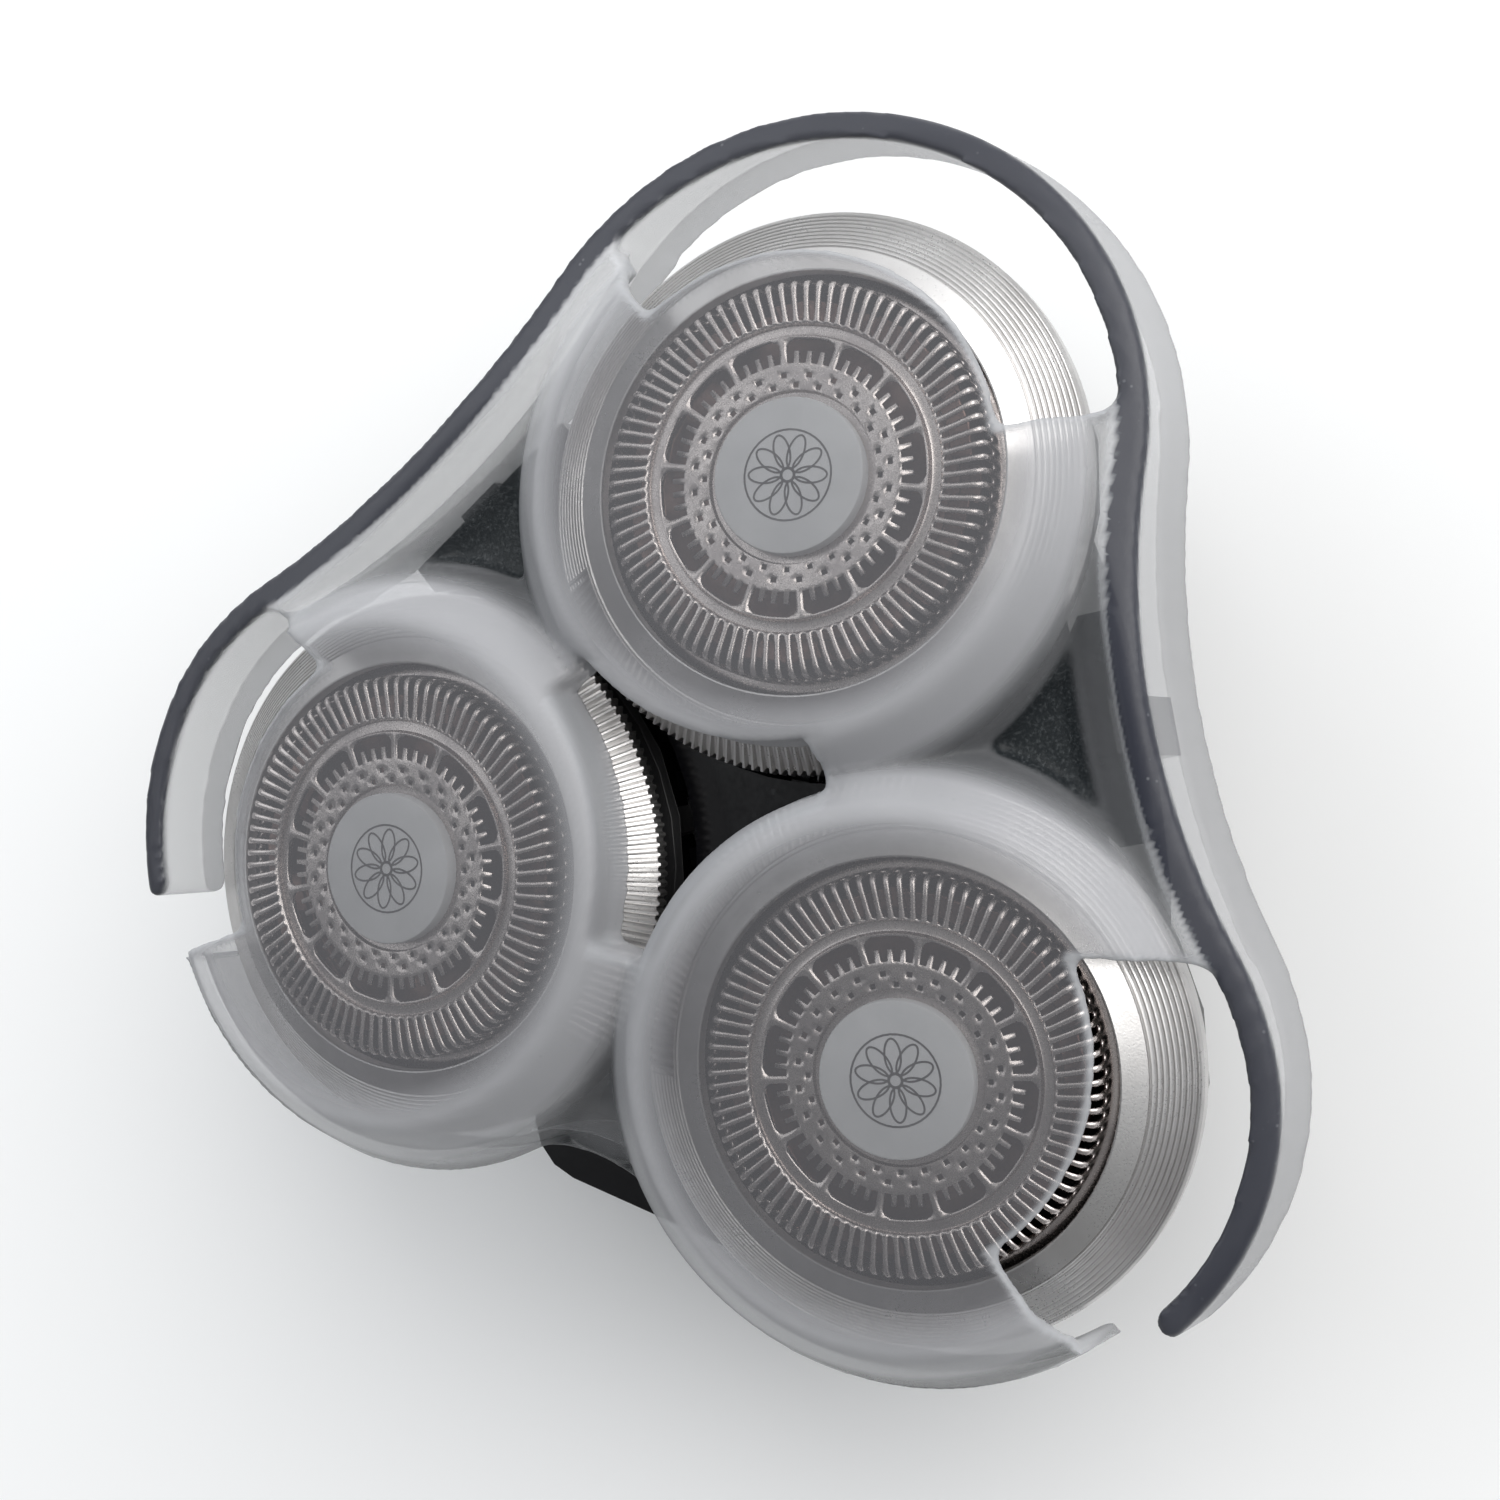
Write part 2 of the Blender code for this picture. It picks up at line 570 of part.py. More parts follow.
def build_head_carrier():
    # a disc with ears for the pivot pins, a middle post and three arms between the heads
    carrier = cylinder("head_carrier", 9.4, BASE_TOP_Z + GAP, -13.5, 32, GLOSS_BLACK)
    arms = {30.0: 24.4, 150.0: 24.4, 270.0: 19.8}
    for degrees, reach in arms.items():
        matrix = unit_matrix(degrees, 0.0, 0.0)
        name = "%d" % degrees
        web = block("cut_web_" + name, (reach - 6.0, 3.4, 8.5),
                    ((reach + 6.0) / 2, 0.0, BASE_TOP_Z + GAP + 4.25), None, matrix)
        spread = 13.0 if reach > 20.0 else 6.0
        top = block("cut_arm_top_" + name, (reach - 10.0, spread, 1.6),
                    ((reach + 10.0) / 2, 0.0, -6.9), None, matrix)
        pad = block("cut_pad_" + name, (2.0, 3.0, 2.6), (reach - 1.4, 0.0, -5.5), None, matrix)
        combine(carrier, web, "UNION")
        combine(carrier, top, "UNION")
        combine(carrier, pad, "UNION")
    for side, degrees in HEADS.items():
        clear = [(0.0, 2.0), (16.5, 2.0), (16.5, -7.9), (13.5, -9.8), (13.5, -12.2), (0.0, -12.2)]
        room = turned("cut_room_" + side, clear, 28, None, head_matrix(degrees))
        combine(carrier, room, "DIFFERENCE")
    post = cylinder("cut_post", 1.5, -14.0, -6.0, 12, None)
    combine(carrier, post, "UNION")
    outline = []
    for degrees in sorted(HEADS.values()):
        centre = polar(HEAD_CIRCLE_R - 0.8, degrees)
        outline += arc(centre, 16.3, degrees + 180.0 + 20.0, degrees + 180.0 - 20.0, 6)
    middle = prism("cut_middle", list(reversed(outline)), -7.2, -5.6, None)
    combine(carrier, middle, "UNION")
    for side, degrees in HEADS.items():
        matrix = unit_matrix(degrees, 0.0, 0.0)
        for sign in (-1.0, 1.0):
            ear = block("cut_ear_%s_%d" % (side, sign), (2.7, 1.1, 4.9),
                        (PIVOT_R + 0.05, sign * 2.3, -11.65), None, matrix)
            combine(carrier, ear, "UNION")
        pivot = unit_matrix(degrees, PIVOT_R, PIVOT_Z) @ Matrix.Rotation(math.pi / 2, 4, "X")
        bore = cylinder("cut_ear_bore_" + side, PIVOT_PIN_R + 0.25, -4.0, 4.0, 14, None, pivot)
        combine(carrier, bore, "DIFFERENCE")


for head_side, head_degrees in HEADS.items():
    build_head(head_side, head_degrees)
    build_driven_gear(head_side, head_degrees)
build_drive()
build_base_cover()
build_gear_plate()
build_coupling_housing()
build_head_carrier()
build_cap()
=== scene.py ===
import json
import math

import bmesh
import bpy
from mathutils import Matrix, Vector
from mathutils.kdtree import KDTree

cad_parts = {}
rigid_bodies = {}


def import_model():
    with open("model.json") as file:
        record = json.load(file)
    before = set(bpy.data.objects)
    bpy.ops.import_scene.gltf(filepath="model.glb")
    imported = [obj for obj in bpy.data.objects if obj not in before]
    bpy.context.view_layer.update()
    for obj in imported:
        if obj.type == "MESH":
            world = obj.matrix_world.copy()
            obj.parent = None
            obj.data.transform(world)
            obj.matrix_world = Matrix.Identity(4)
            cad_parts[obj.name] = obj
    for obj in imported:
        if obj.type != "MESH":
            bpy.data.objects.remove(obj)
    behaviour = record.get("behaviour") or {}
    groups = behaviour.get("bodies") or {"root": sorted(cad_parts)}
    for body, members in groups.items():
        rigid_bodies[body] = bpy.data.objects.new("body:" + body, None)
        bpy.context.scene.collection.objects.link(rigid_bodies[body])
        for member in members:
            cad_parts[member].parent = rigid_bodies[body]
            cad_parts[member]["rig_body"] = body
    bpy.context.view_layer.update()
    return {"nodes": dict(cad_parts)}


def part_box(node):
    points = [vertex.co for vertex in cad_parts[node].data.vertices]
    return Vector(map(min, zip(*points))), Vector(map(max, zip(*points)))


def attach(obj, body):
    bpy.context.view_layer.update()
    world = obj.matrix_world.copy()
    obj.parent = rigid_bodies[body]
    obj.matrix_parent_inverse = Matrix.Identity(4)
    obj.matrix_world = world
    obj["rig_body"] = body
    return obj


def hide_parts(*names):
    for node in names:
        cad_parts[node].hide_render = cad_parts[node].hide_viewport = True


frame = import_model()
scene = bpy.context.scene

mm = 0.001
sides = {"top": 90.0, "left": 210.0, "right": 330.0}  # heading of each head from the drive axis
unit = {"headCircle": 19.43, "headTilt": 7.0, "headHeight": 34.0}
sharpCorner = 28.0  # an outline's corners above this many degrees are rounded
bumpDepth = 0.00002

# the drive coupling is round and stands on the drive axis
couplingLow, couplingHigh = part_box("drive_coupling")
unitPlace = Matrix.Translation((
    (couplingLow.x + couplingHigh.x) / 2,
    (couplingLow.y + couplingHigh.y) / 2,
    unit["headHeight"] * mm,
))


# placing and shaping helpers

def polar(radius, degrees):
    turn = math.radians(degrees)
    return Vector((radius * math.cos(turn), radius * math.sin(turn)))


def headPlace(degrees):
    # local x points away from the drive axis, local z leans outwards
    turn = Matrix.Rotation(math.radians(degrees), 4, "Z")
    shift = Matrix.Translation((unit["headCircle"] * mm, 0.0, 0.0))
    lean = Matrix.Rotation(math.radians(unit["headTilt"]), 4, "Y")
    return unitPlace @ turn @ shift @ lean


def turnProfile(bm, points, steps, closed=False):
    # points are (radius, height) in mm
    verts = [bm.verts.new((r * mm, 0.0, h * mm)) for r, h in points]
    edges = [bm.edges.new(pair) for pair in zip(verts, verts[1:])]
    if closed:
        edges.append(bm.edges.new((verts[-1], verts[0])))
    bmesh.ops.spin(bm, geom=verts + edges, cent=(0, 0, 0), axis=(0, 0, 1), angle=2 * math.pi,
                   steps=steps, use_merge=True)
    bmesh.ops.remove_doubles(bm, verts=bm.verts, dist=1e-6)
    bmesh.ops.recalc_face_normals(bm, faces=bm.faces)


def turnCopies(bm, geom, count):
    # whole copies of geom round z, joined where they touch
    bmesh.ops.spin(bm, geom=geom, cent=(0, 0, 0), axis=(0, 0, 1), use_duplicate=True,
                   angle=2 * math.pi * (count - 1) / count, steps=count - 1)
    bmesh.ops.remove_doubles(bm, verts=bm.verts, dist=4e-6)


def everything(bm):
    return bm.verts[:] + bm.edges[:] + bm.faces[:]


def gridPlaces(bm, columns, rows):
    # lays a flat grid and returns each point's (column, row)
    bmesh.ops.create_grid(bm, x_segments=columns, y_segments=rows, size=1.0)
    return {vert: (round((vert.co.x + 1) / 2 * columns), round((vert.co.y + 1) / 2 * rows))
            for vert in bm.verts}


def pour(source, target):
    # adds one bmesh to another and frees it
    part = bpy.data.meshes.new("part")
    source.to_mesh(part)
    source.free()
    target.from_mesh(part)
    bpy.data.meshes.remove(part)


def mirrored(points):
    return [Vector((-p.x, p.y)) for p in reversed(points)]


def prism(bm, outline, low, high, corner=0.0):
    # upright block over an outline in mm, its corners rounded in plan where corner is given
    verts = [bm.verts.new((x * mm, y * mm, low * mm)) for x, y in outline]
    rim = [bm.edges.new((verts[i - 1], verts[i])) for i in range(len(verts))]
    base = bmesh.ops.edgeloop_fill(bm, edges=rim)["faces"]
    if corner:
        sharp = [v for v in verts if cornerAngle(v) > math.radians(sharpCorner)]
        bmesh.ops.bevel(bm, geom=sharp, offset=corner * mm, offset_type="OFFSET", segments=5,
                        profile=0.5, affect="VERTICES", material=-1)
        base = list(bm.faces)
    grown = bmesh.ops.extrude_face_region(bm, geom=base)["geom"]
    lifted = [part for part in grown if isinstance(part, bmesh.types.BMVert)]
    bmesh.ops.translate(bm, verts=lifted, vec=(0, 0, (high - low) * mm))
    bmesh.ops.recalc_face_normals(bm, faces=bm.faces)


def cornerAngle(vert):
    a, b = [(edge.other_vert(vert).co - vert.co).normalized() for edge in vert.link_edges[:2]]
    return math.pi - a.angle(b)


def arc(centre, radius, start, stop, steps):
    return [Vector(centre) + polar(radius, start + (stop - start) * i / steps)
            for i in range(steps + 1)]


def heading(point, centre):
    return math.degrees(math.atan2(point[1] - centre[1], point[0] - centre[0]))


def looseObject(bm, name, place=unitPlace):
    mesh = bpy.data.meshes.new(name)
    bm.transform(place)
    bm.to_mesh(mesh)
    bm.free()
    piece = bpy.data.objects.new(name, mesh)
    scene.collection.objects.link(piece)
    return piece


def softShade(mesh, degrees):
    mesh.shade_smooth()
    mesh.set_sharp_from_angle(angle=math.radians(degrees))


def settle(piece, body, nodes, materials, shade=35.0):
    # a finished piece rides on its body and stands for its CAD nodes
    for material in materials:
        piece.data.materials.append(material)
    softShade(piece.data, shade)
    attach(piece, body)
    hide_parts(*nodes)
    return piece


def bevelled(piece, width, segments=2, degrees=40.0):
    edge = piece.modifiers.new("softEdge", "BEVEL")
    edge.width = width * mm
    edge.segments = segments
    edge.limit_method = "ANGLE"
    edge.angle_limit = math.radians(degrees)
    edge.use_clamp_overlap = True
    return piece


# camera, floor and light

view = {
    "lens": 75.75,
    "place": (0.07012, 0.02742, 0.16053),  # from the middle of the three heads
    "right": (0.86340278, 0.29918582, -0.40623083),
    "up": (-0.32678361, 0.94509798, 0.00151154),
    "back": (0.38438016, 0.13144451, 0.91376924),
}


def setCamera():
    data = bpy.data.cameras.new("camera")
    data.lens = view["lens"]
    data.sensor_width = 36.0
    data.clip_start = 0.01
    data.clip_end = 10.0
    camera = bpy.data.objects.new("camera", data)
    scene.collection.objects.link(camera)
    turn = Matrix((view["right"], view["up"], view["back"])).transposed()
    camera.matrix_world = unitPlace @ Matrix.Translation(view["place"]) @ turn.to_4x4()
    scene.camera = camera


studio = {
    "key": {"place": (0.28, 0.42, 0.50), "size": 0.70, "power": 5.0, "colour": (1.0, 0.985, 0.96)},
    "fill": {"place": (-0.45, 0.10, 0.45), "size": 0.6, "power": 1.2, "colour": (0.94, 0.97, 1.0)},
    "skyBright": 1.30,
    "skyDark": 0.28,
    "overhead": 0.50,  # share of the sky left straight above
    "lean": (0.1, 0.9, 0.42),  # where the sky is brightest
    "air": (0.97, 0.985, 1.0),
    "aim": (0.0, 0.0, 0.03),
    "floor": {"half": 1.5, "colour": (0.86, 0.865, 0.87), "rough": 0.6},
}


def areaLight(name, spec):
    data = bpy.data.lights.new(name, "AREA")
    data.energy = spec["power"]
    data.size = spec["size"]
    data.color = spec["colour"]
    light = bpy.data.objects.new(name, data)
    light.location = spec["place"]
    aim = Vector(studio["aim"]) - Vector(spec["place"])
    light.rotation_euler = aim.to_track_quat("-Z", "Y").to_euler()
    scene.collection.objects.link(light)


def setStudio():
    areaLight("keyLight", studio["key"])
    areaLight("fillLight", studio["fill"])
    world = bpy.data.worlds.new("softRoom")
    scene.world = world
    world.use_nodes = True
    tree = world.node_tree
    tree.nodes.clear()
    where = tree.nodes.new("ShaderNodeTexCoord")
    lean = tree.nodes.new("ShaderNodeVectorMath")
    lean.operation = "DOT_PRODUCT"
    lean.inputs[1].default_value = Vector(studio["lean"]).normalized()
    tree.links.new(where.outputs["Generated"], lean.inputs[0])
    glow = spreadNode(tree, lean.outputs["Value"], -0.1, 0.9,
                      studio["skyDark"], studio["skyBright"])
    split = tree.nodes.new("ShaderNodeSeparateXYZ")
    tree.links.new(where.outputs["Generated"], split.inputs[0])
    ceiling = spreadNode(tree, split.outputs["Z"], 0.6, 0.95, 1.0, studio["overhead"])
    shine = tree.nodes.new("ShaderNodeBackground")
    shine.inputs["Color"].default_value = (*studio["air"], 1.0)
    tree.links.new(mathNode(tree, "MULTIPLY", glow, ceiling), shine.inputs["Strength"])
    out = tree.nodes.new("ShaderNodeOutputWorld")
    tree.links.new(shine.outputs[0], out.inputs["Surface"])
    scene.view_settings.view_transform = "Standard"

    spec = studio["floor"]
    bm = bmesh.new()
    bmesh.ops.create_grid(bm, x_segments=1, y_segments=1, size=spec["half"])
    floor = looseObject(bm, "floor", Matrix.Identity(4))
    paper = bpy.data.materials.new("paleFloor")
    paper.use_nodes = True
    skin = paper.node_tree.nodes["Principled BSDF"]
    skin.inputs["Base Color"].default_value = (*spec["colour"], 1.0)
    skin.inputs["Roughness"].default_value = spec["rough"]
    floor.data.materials.append(paper)


# shader node groups shared by the materials

def startGroup(name, inputs, outputs):
    group = bpy.data.node_groups.new(name, "ShaderNodeTree")
    kind = "NodeSocketFloat"
    for socket, value in inputs.items():
        made = group.interface.new_socket(name=socket, in_out="INPUT", socket_type=kind)
        made.default_value = value
    for socket in outputs:
        group.interface.new_socket(name=socket, in_out="OUTPUT", socket_type=kind)
    start = group.nodes.new("NodeGroupInput")
    end = group.nodes.new("NodeGroupOutput")
    return group, start, end


def spreadNode(tree, value, low, high, toLow, toHigh):
    # maps value from low..high; each bound may be a number or a socket
    node = tree.nodes.new("ShaderNodeMapRange")
    tree.links.new(value, node.inputs["Value"])
    bounds = {"From Min": low, "From Max": high, "To Min": toLow, "To Max": toHigh}
    for socket, bound in bounds.items():
        if isinstance(bound, (int, float)):
            node.inputs[socket].default_value = bound
        else:
            tree.links.new(bound, node.inputs[socket])
    return node.outputs["Result"]


def mathNode(tree, operation, first, second):
    node = tree.nodes.new("ShaderNodeMath")
    node.operation = operation
    for index, value in enumerate((first, second)):
        if isinstance(value, (int, float)):
            node.inputs[index].default_value = value
        else:
            tree.links.new(value, node.inputs[index])
    return node.outputs[0]


def noiseNode(tree, scale, detail, vector=None):
    node = tree.nodes.new("ShaderNodeTexNoise")
    node.inputs["Detail"].default_value = detail
    if isinstance(scale, (int, float)):
        node.inputs["Scale"].default_value = scale
    else:
        tree.links.new(scale, node.inputs["Scale"])
    if vector is None:
        vector = tree.nodes.new("ShaderNodeTexCoord").outputs["Object"]
    tree.links.new(vector, node.inputs["Vector"])
    return node.outputs["Fac"]


def makeGrainGroup():
    # moulded or blasted grain: a roughness that varies, a height, and a slow stain mask
    group, start, end = startGroup(
        "surfaceGrain",
        {"grainScale": 6000.0, "stainScale": 120.0, "roughLow": 0.3, "roughHigh": 0.45},
        ("roughness", "height", "stain"),
    )
    fine = noiseNode(group, start.outputs["grainScale"], 2.0)
    slow = noiseNode(group, start.outputs["stainScale"], 3.0)
    both = mathNode(group, "ADD", mathNode(group, "MULTIPLY", fine, 0.6),
                    mathNode(group, "MULTIPLY", slow, 0.4))
    rough = spreadNode(group, both, 0.35, 0.65,
                       start.outputs["roughLow"], start.outputs["roughHigh"])
    stain = spreadNode(group, slow, 0.35, 0.65, 0.0, 1.0)
    group.links.new(rough, end.inputs["roughness"])
    group.links.new(fine, end.inputs["height"])
    group.links.new(stain, end.inputs["stain"])
    return group


def makeSpeckGroup():
    # sparse dust and tiny scuffs
    group, start, end = startGroup("dustSpecks", {"speckScale": 900.0, "amount": 0.5}, ("mask",))
    where = group.nodes.new("ShaderNodeTexCoord")
    cells = group.nodes.new("ShaderNodeTexVoronoi")
    group.links.new(where.outputs["Object"], cells.inputs["Vector"])
    group.links.new(start.outputs["speckScale"], cells.inputs["Scale"])
    dots = spreadNode(group, cells.outputs["Distance"], 0.05, 0.16, 1.0, 0.0)
    few = spreadNode(group, noiseNode(group, 260.0, 2.0), 0.56, 0.66, 0.0, 1.0)
    mask = mathNode(group, "MULTIPLY", mathNode(group, "MULTIPLY", dots, few),
                    start.outputs["amount"])
    group.links.new(mask, end.inputs["mask"])
    return group


grainGroup = makeGrainGroup()
speckGroup = makeSpeckGroup()


def placeGroup(tree, group, **values):
    node = tree.nodes.new("ShaderNodeGroup")
    node.node_tree = group
    for socket, value in values.items():
        node.inputs[socket].default_value = value
    return node


def mixColour(tree, share, first, second):
    node = tree.nodes.new("ShaderNodeMix")
    node.data_type = "RGBA"
    tree.links.new(share, node.inputs["Factor"])
    for index, colour in ((6, first), (7, second)):
        if isinstance(colour, tuple):
            node.inputs[index].default_value = (*colour, 1.0)
        else:
            tree.links.new(colour, node.inputs[index])
    return node.outputs[2]


def makeFinish(name, spec):
    # one Principled shader with grain, a slow stain and a few specks
    material = bpy.data.materials.new(name)
    material.use_nodes = True
    tree = material.node_tree
    skin = tree.nodes["Principled BSDF"]
    grain = placeGroup(tree, grainGroup, grainScale=spec["grain"], stainScale=spec["stain"],
                       roughLow=spec["rough"][0], roughHigh=spec["rough"][1])
    colour = mixColour(tree, grain.outputs["stain"], spec["colour"], spec["second"])
    if spec.get("specks"):
        dust = placeGroup(tree, speckGroup, speckScale=spec["speckScale"], amount=spec["specks"])
        colour = mixColour(tree, dust.outputs["mask"], colour, spec["speckColour"])
    tree.links.new(colour, skin.inputs["Base Color"])
    tree.links.new(grain.outputs["roughness"], skin.inputs["Roughness"])
    skin.inputs["Metallic"].default_value = spec.get("metal", 0.0)
    skin.inputs["IOR"].default_value = spec.get("ior", 1.46)
    if spec.get("coat"):
        skin.inputs["Coat Weight"].default_value = spec["coat"]
        skin.inputs["Coat Roughness"].default_value = 0.08
    bump = tree.nodes.new("ShaderNodeBump")
    bump.inputs["Strength"].default_value = spec["bump"]
    bump.inputs["Distance"].default_value = bumpDepth
    tree.links.new(grain.outputs["height"], bump.inputs["Height"])
    tree.links.new(bump.outputs["Normal"], skin.inputs["Normal"])
    return material


finishes = {
    "glossBlack": {"colour": (0.004, 0.004, 0.005), "second": (0.008, 0.008, 0.010),
                   "rough": (0.10, 0.2),
                   "grain": 3000.0, "stain": 90.0, "bump": 0.04, "ior": 1.38, "specks": 0.5,
                   "speckScale": 700.0, "speckColour": (0.05, 0.05, 0.055)},
    "satinBlack": {"colour": (0.010, 0.010, 0.011), "second": (0.018, 0.018, 0.019),
                   "rough": (0.32, 0.46),
                   "grain": 5200.0, "stain": 110.0, "bump": 0.25, "specks": 0.4,
                   "speckScale": 900.0, "speckColour": (0.06, 0.06, 0.06)},
    "satinSilver": {"colour": (0.62, 0.61, 0.605), "second": (0.52, 0.51, 0.505),
                    "rough": (0.26, 0.42),
                    "grain": 9000.0, "stain": 200.0, "bump": 0.35, "metal": 1.0},
    "guardSteel": {"colour": (0.64, 0.59, 0.57), "second": (0.48, 0.44, 0.43),
                   "rough": (0.20, 0.36),
                   "grain": 7000.0, "stain": 350.0, "bump": 0.12, "metal": 1.0},
    "cutterSteel": {"colour": (0.20, 0.13, 0.11), "second": (0.09, 0.05, 0.045),
                    "rough": (0.28, 0.5),
                    "grain": 6000.0, "stain": 500.0, "bump": 0.2, "metal": 1.0},
    "pinSteel": {"colour": (0.60, 0.60, 0.61), "second": (0.48, 0.48, 0.49), "rough": (0.22, 0.38),
                 "grain": 6000.0, "stain": 300.0, "bump": 0.2, "metal": 1.0},
    "badgeGrey": {"colour": (0.56, 0.57, 0.58), "second": (0.50, 0.51, 0.52), "rough": (0.38, 0.52),
                  "grain": 8000.0, "stain": 260.0, "bump": 0.25},
    "badgeInk": {"colour": (0.05, 0.05, 0.055), "second": (0.09, 0.09, 0.095), "rough": (0.4, 0.5),
                 "grain": 8000.0, "stain": 600.0, "bump": 0.1},
    "acetal": {"colour": (0.78, 0.77, 0.72), "second": (0.70, 0.69, 0.63), "rough": (0.36, 0.5),
               "grain": 4000.0, "stain": 150.0, "bump": 0.15},
}
finish = {name: makeFinish(name, spec) for name, spec in finishes.items()}
print("finishes made:", ", ".join(finish))


# CAD nodes kept as they are built, with merged and softened copies shown

keptNodes = {
    "glossBlack": ["base_cover", "head_carrier"],
    "satinBlack": ["gear_plate", "coupling_housing", "drive_coupling"]
                  + ["hair_chamber_" + side for side in sides]
                  + ["retaining_ring_" + side for side in sides],
    "cutterSteel": ["cutter_" + side for side in sides],
    "pinSteel": ["screw_right", "screw_left", "screw_bottom"]
                + ["pivot_pin_" + side for side in sides]
                + ["gear_axle_" + side for side in sides]
                + ["spindle_spring_" + side for side in sides],
    "acetal": ["drive_gear"] + ["driven_gear_" + side for side in sides]
              + ["drive_spindle_" + side for side in sides],
}


def softCopy(node, finishName):
    bm = bmesh.new()
    bm.from_mesh(frame["nodes"][node].data)
    bmesh.ops.remove_doubles(bm, verts=bm.verts, dist=2e-6)
    bmesh.ops.dissolve_limit(bm, angle_limit=math.radians(0.6), verts=bm.verts, edges=bm.edges)
    piece = looseObject(bm, "soft_" + node, Matrix.Identity(4))
    settle(piece, frame["nodes"][node]["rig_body"], [node], [finish[finishName]])
    if not node.startswith("spindle_spring"):
        bevelled(piece, 0.10)


setCamera()
setStudio()
for finishName, nodes in keptNodes.items():
    for node in nodes:
        softCopy(node, finishName)
print("carried over:", sum(len(nodes) for nodes in keptNodes.values()), "nodes")


# slotted guards

guardSpec = {
    "slots": 90,
    "across": (0.0, 0.11, 0.25, 0.5, 0.75, 0.89, 1.0),  # bar, slot and bar in one pitch
    "sag": (0.0, 0.012, 0.07, 0.0, 0.07, 0.012, 0.0),  # how far the bar's sides drop
    "track": ((8.62, -0.40), (8.68, -0.14), (8.84, -0.01), (9.3, 0.0), (10.1, 0.0), (10.7, -0.02),
              (11.05, -0.14), (11.24, -0.40), (11.3, -0.85), (11.3, -1.45), (11.3, -2.7),
              (12.4, -2.75)),
    "slotRows": (2, 9),
    "slotColumns": (2, 4),
    "slotEnd": (0.09, 0.10),  # how far the slot's inner and outer ends are drawn out round
    "twist": 1.6,  # degrees the slots lean from their inner to their outer end
    "twistFrom": 8.6,
    "twistOver": 2.7,
    "combs": 14,
    "combAngles": (0.0, 1.6, 5.2, 7.9, 11.5, 14.2, 17.8, 20.5, 24.1, 360.0 / 14),
    "combTrack": ((6.26, 0.0), (6.44, 0.0), (7.12, 0.0), (7.5, 0.0), (7.88, 0.0), (7.98, -0.03),
                  (8.10, -0.36), (8.2, -0.40)),
    "shoulder": (0.16, 1.3),  # an opening's outer corners move in by this radius and angle
    "toothTaper": 0.25,
    "holeSectors": 24,
    "holeAngles": (0.0, 1.9, 5.6, 9.4, 13.1, 15.0),
    "holeTrack": ((4.42, -0.30), (4.82, -0.28), (4.92, -0.02), (5.04, 0.0), (5.36, 0.0),
                  (5.64, 0.0), (5.96, 0.0), (6.17, 0.0)),
    "holeCells": ((1, 3), (3, 5)),  # column and row of a sector's two holes
    "thick": 0.22,
}


def slotTrack(bm, spec):
    # one bar and slot on a grid, wrapped over the rim, then turned round
    columns, rows = len(spec["across"]) - 1, len(spec["track"]) - 1
    places = gridPlaces(bm, columns, rows)
    pitch = 360.0 / spec["slots"]
    first, last = spec["slotRows"]
    left, right = spec["slotColumns"]
    gone = []
    for face in bm.faces:
        columnsIn = [places[vert][0] for vert in face.verts]
        rowsIn = [places[vert][1] for vert in face.verts]
        across = min(columnsIn) >= left and max(columnsIn) <= right
        if across and min(rowsIn) >= first and max(rowsIn) <= last:
            gone.append(face)
    for vert, (column, row) in places.items():
        radius, height = spec["track"][row]
        before = Vector(spec["track"][max(row - 1, 0)])
        after = Vector(spec["track"][min(row + 1, rows)])
        out = Vector((before.y - after.y, after.x - before.x)).normalized()
        drop = spec["sag"][column] if first < row < last else 0.0
        radius -= out.x * drop
        height -= out.y * drop
        if column == 3 and row in (first, last):
            radius -= spec["slotEnd"][0] if row == first else 0.0
            height -= spec["slotEnd"][1] if row == last else 0.0
        lean = spec["twist"] * (radius - spec["twistFrom"]) / spec["twistOver"]
        spot = polar(radius, spec["across"][column] * pitch + lean)
        vert.co = (spot.x * mm, spot.y * mm, height * mm)
    bmesh.ops.delete(bm, geom=gone, context="FACES")
    turnCopies(bm, everything(bm), spec["slots"])


def combTrack(bm, spec):
    # one comb-shaped opening: an outer arc with four fingers
    angles, track = spec["combAngles"], spec["combTrack"]
    places = gridPlaces(bm, len(angles) - 1, len(track) - 1)
    gone = []
    for face in bm.faces:
        column = min(places[vert][0] for vert in face.verts)
        row = min(places[vert][1] for vert in face.verts)
        arcCell = row in (2, 3) and 1 <= column <= 7
        fingerCell = row == 1 and column in (1, 3, 5, 7)
        if arcCell or fingerCell:
            gone.append(face)
    for vert, (column, row) in places.items():
        radius, height = track[row]
        degrees = angles[column]
        if row == 4 and column in (1, 8):
            radius -= spec["shoulder"][0]
            degrees += spec["shoulder"][1] if column == 1 else -spec["shoulder"][1]
        if row == 2 and 2 <= column <= 7:  # teeth narrow towards their tips
            near = column - 1 if column % 2 else column
            middle = (angles[near] + angles[near + 1]) / 2
            degrees += (middle - degrees) * spec["toothTaper"]
        spot = polar(radius, degrees)
        vert.co = (spot.x * mm, spot.y * mm, height * mm)
    bmesh.ops.delete(bm, geom=gone, context="FACES")
    turnCopies(bm, everything(bm), spec["combs"])


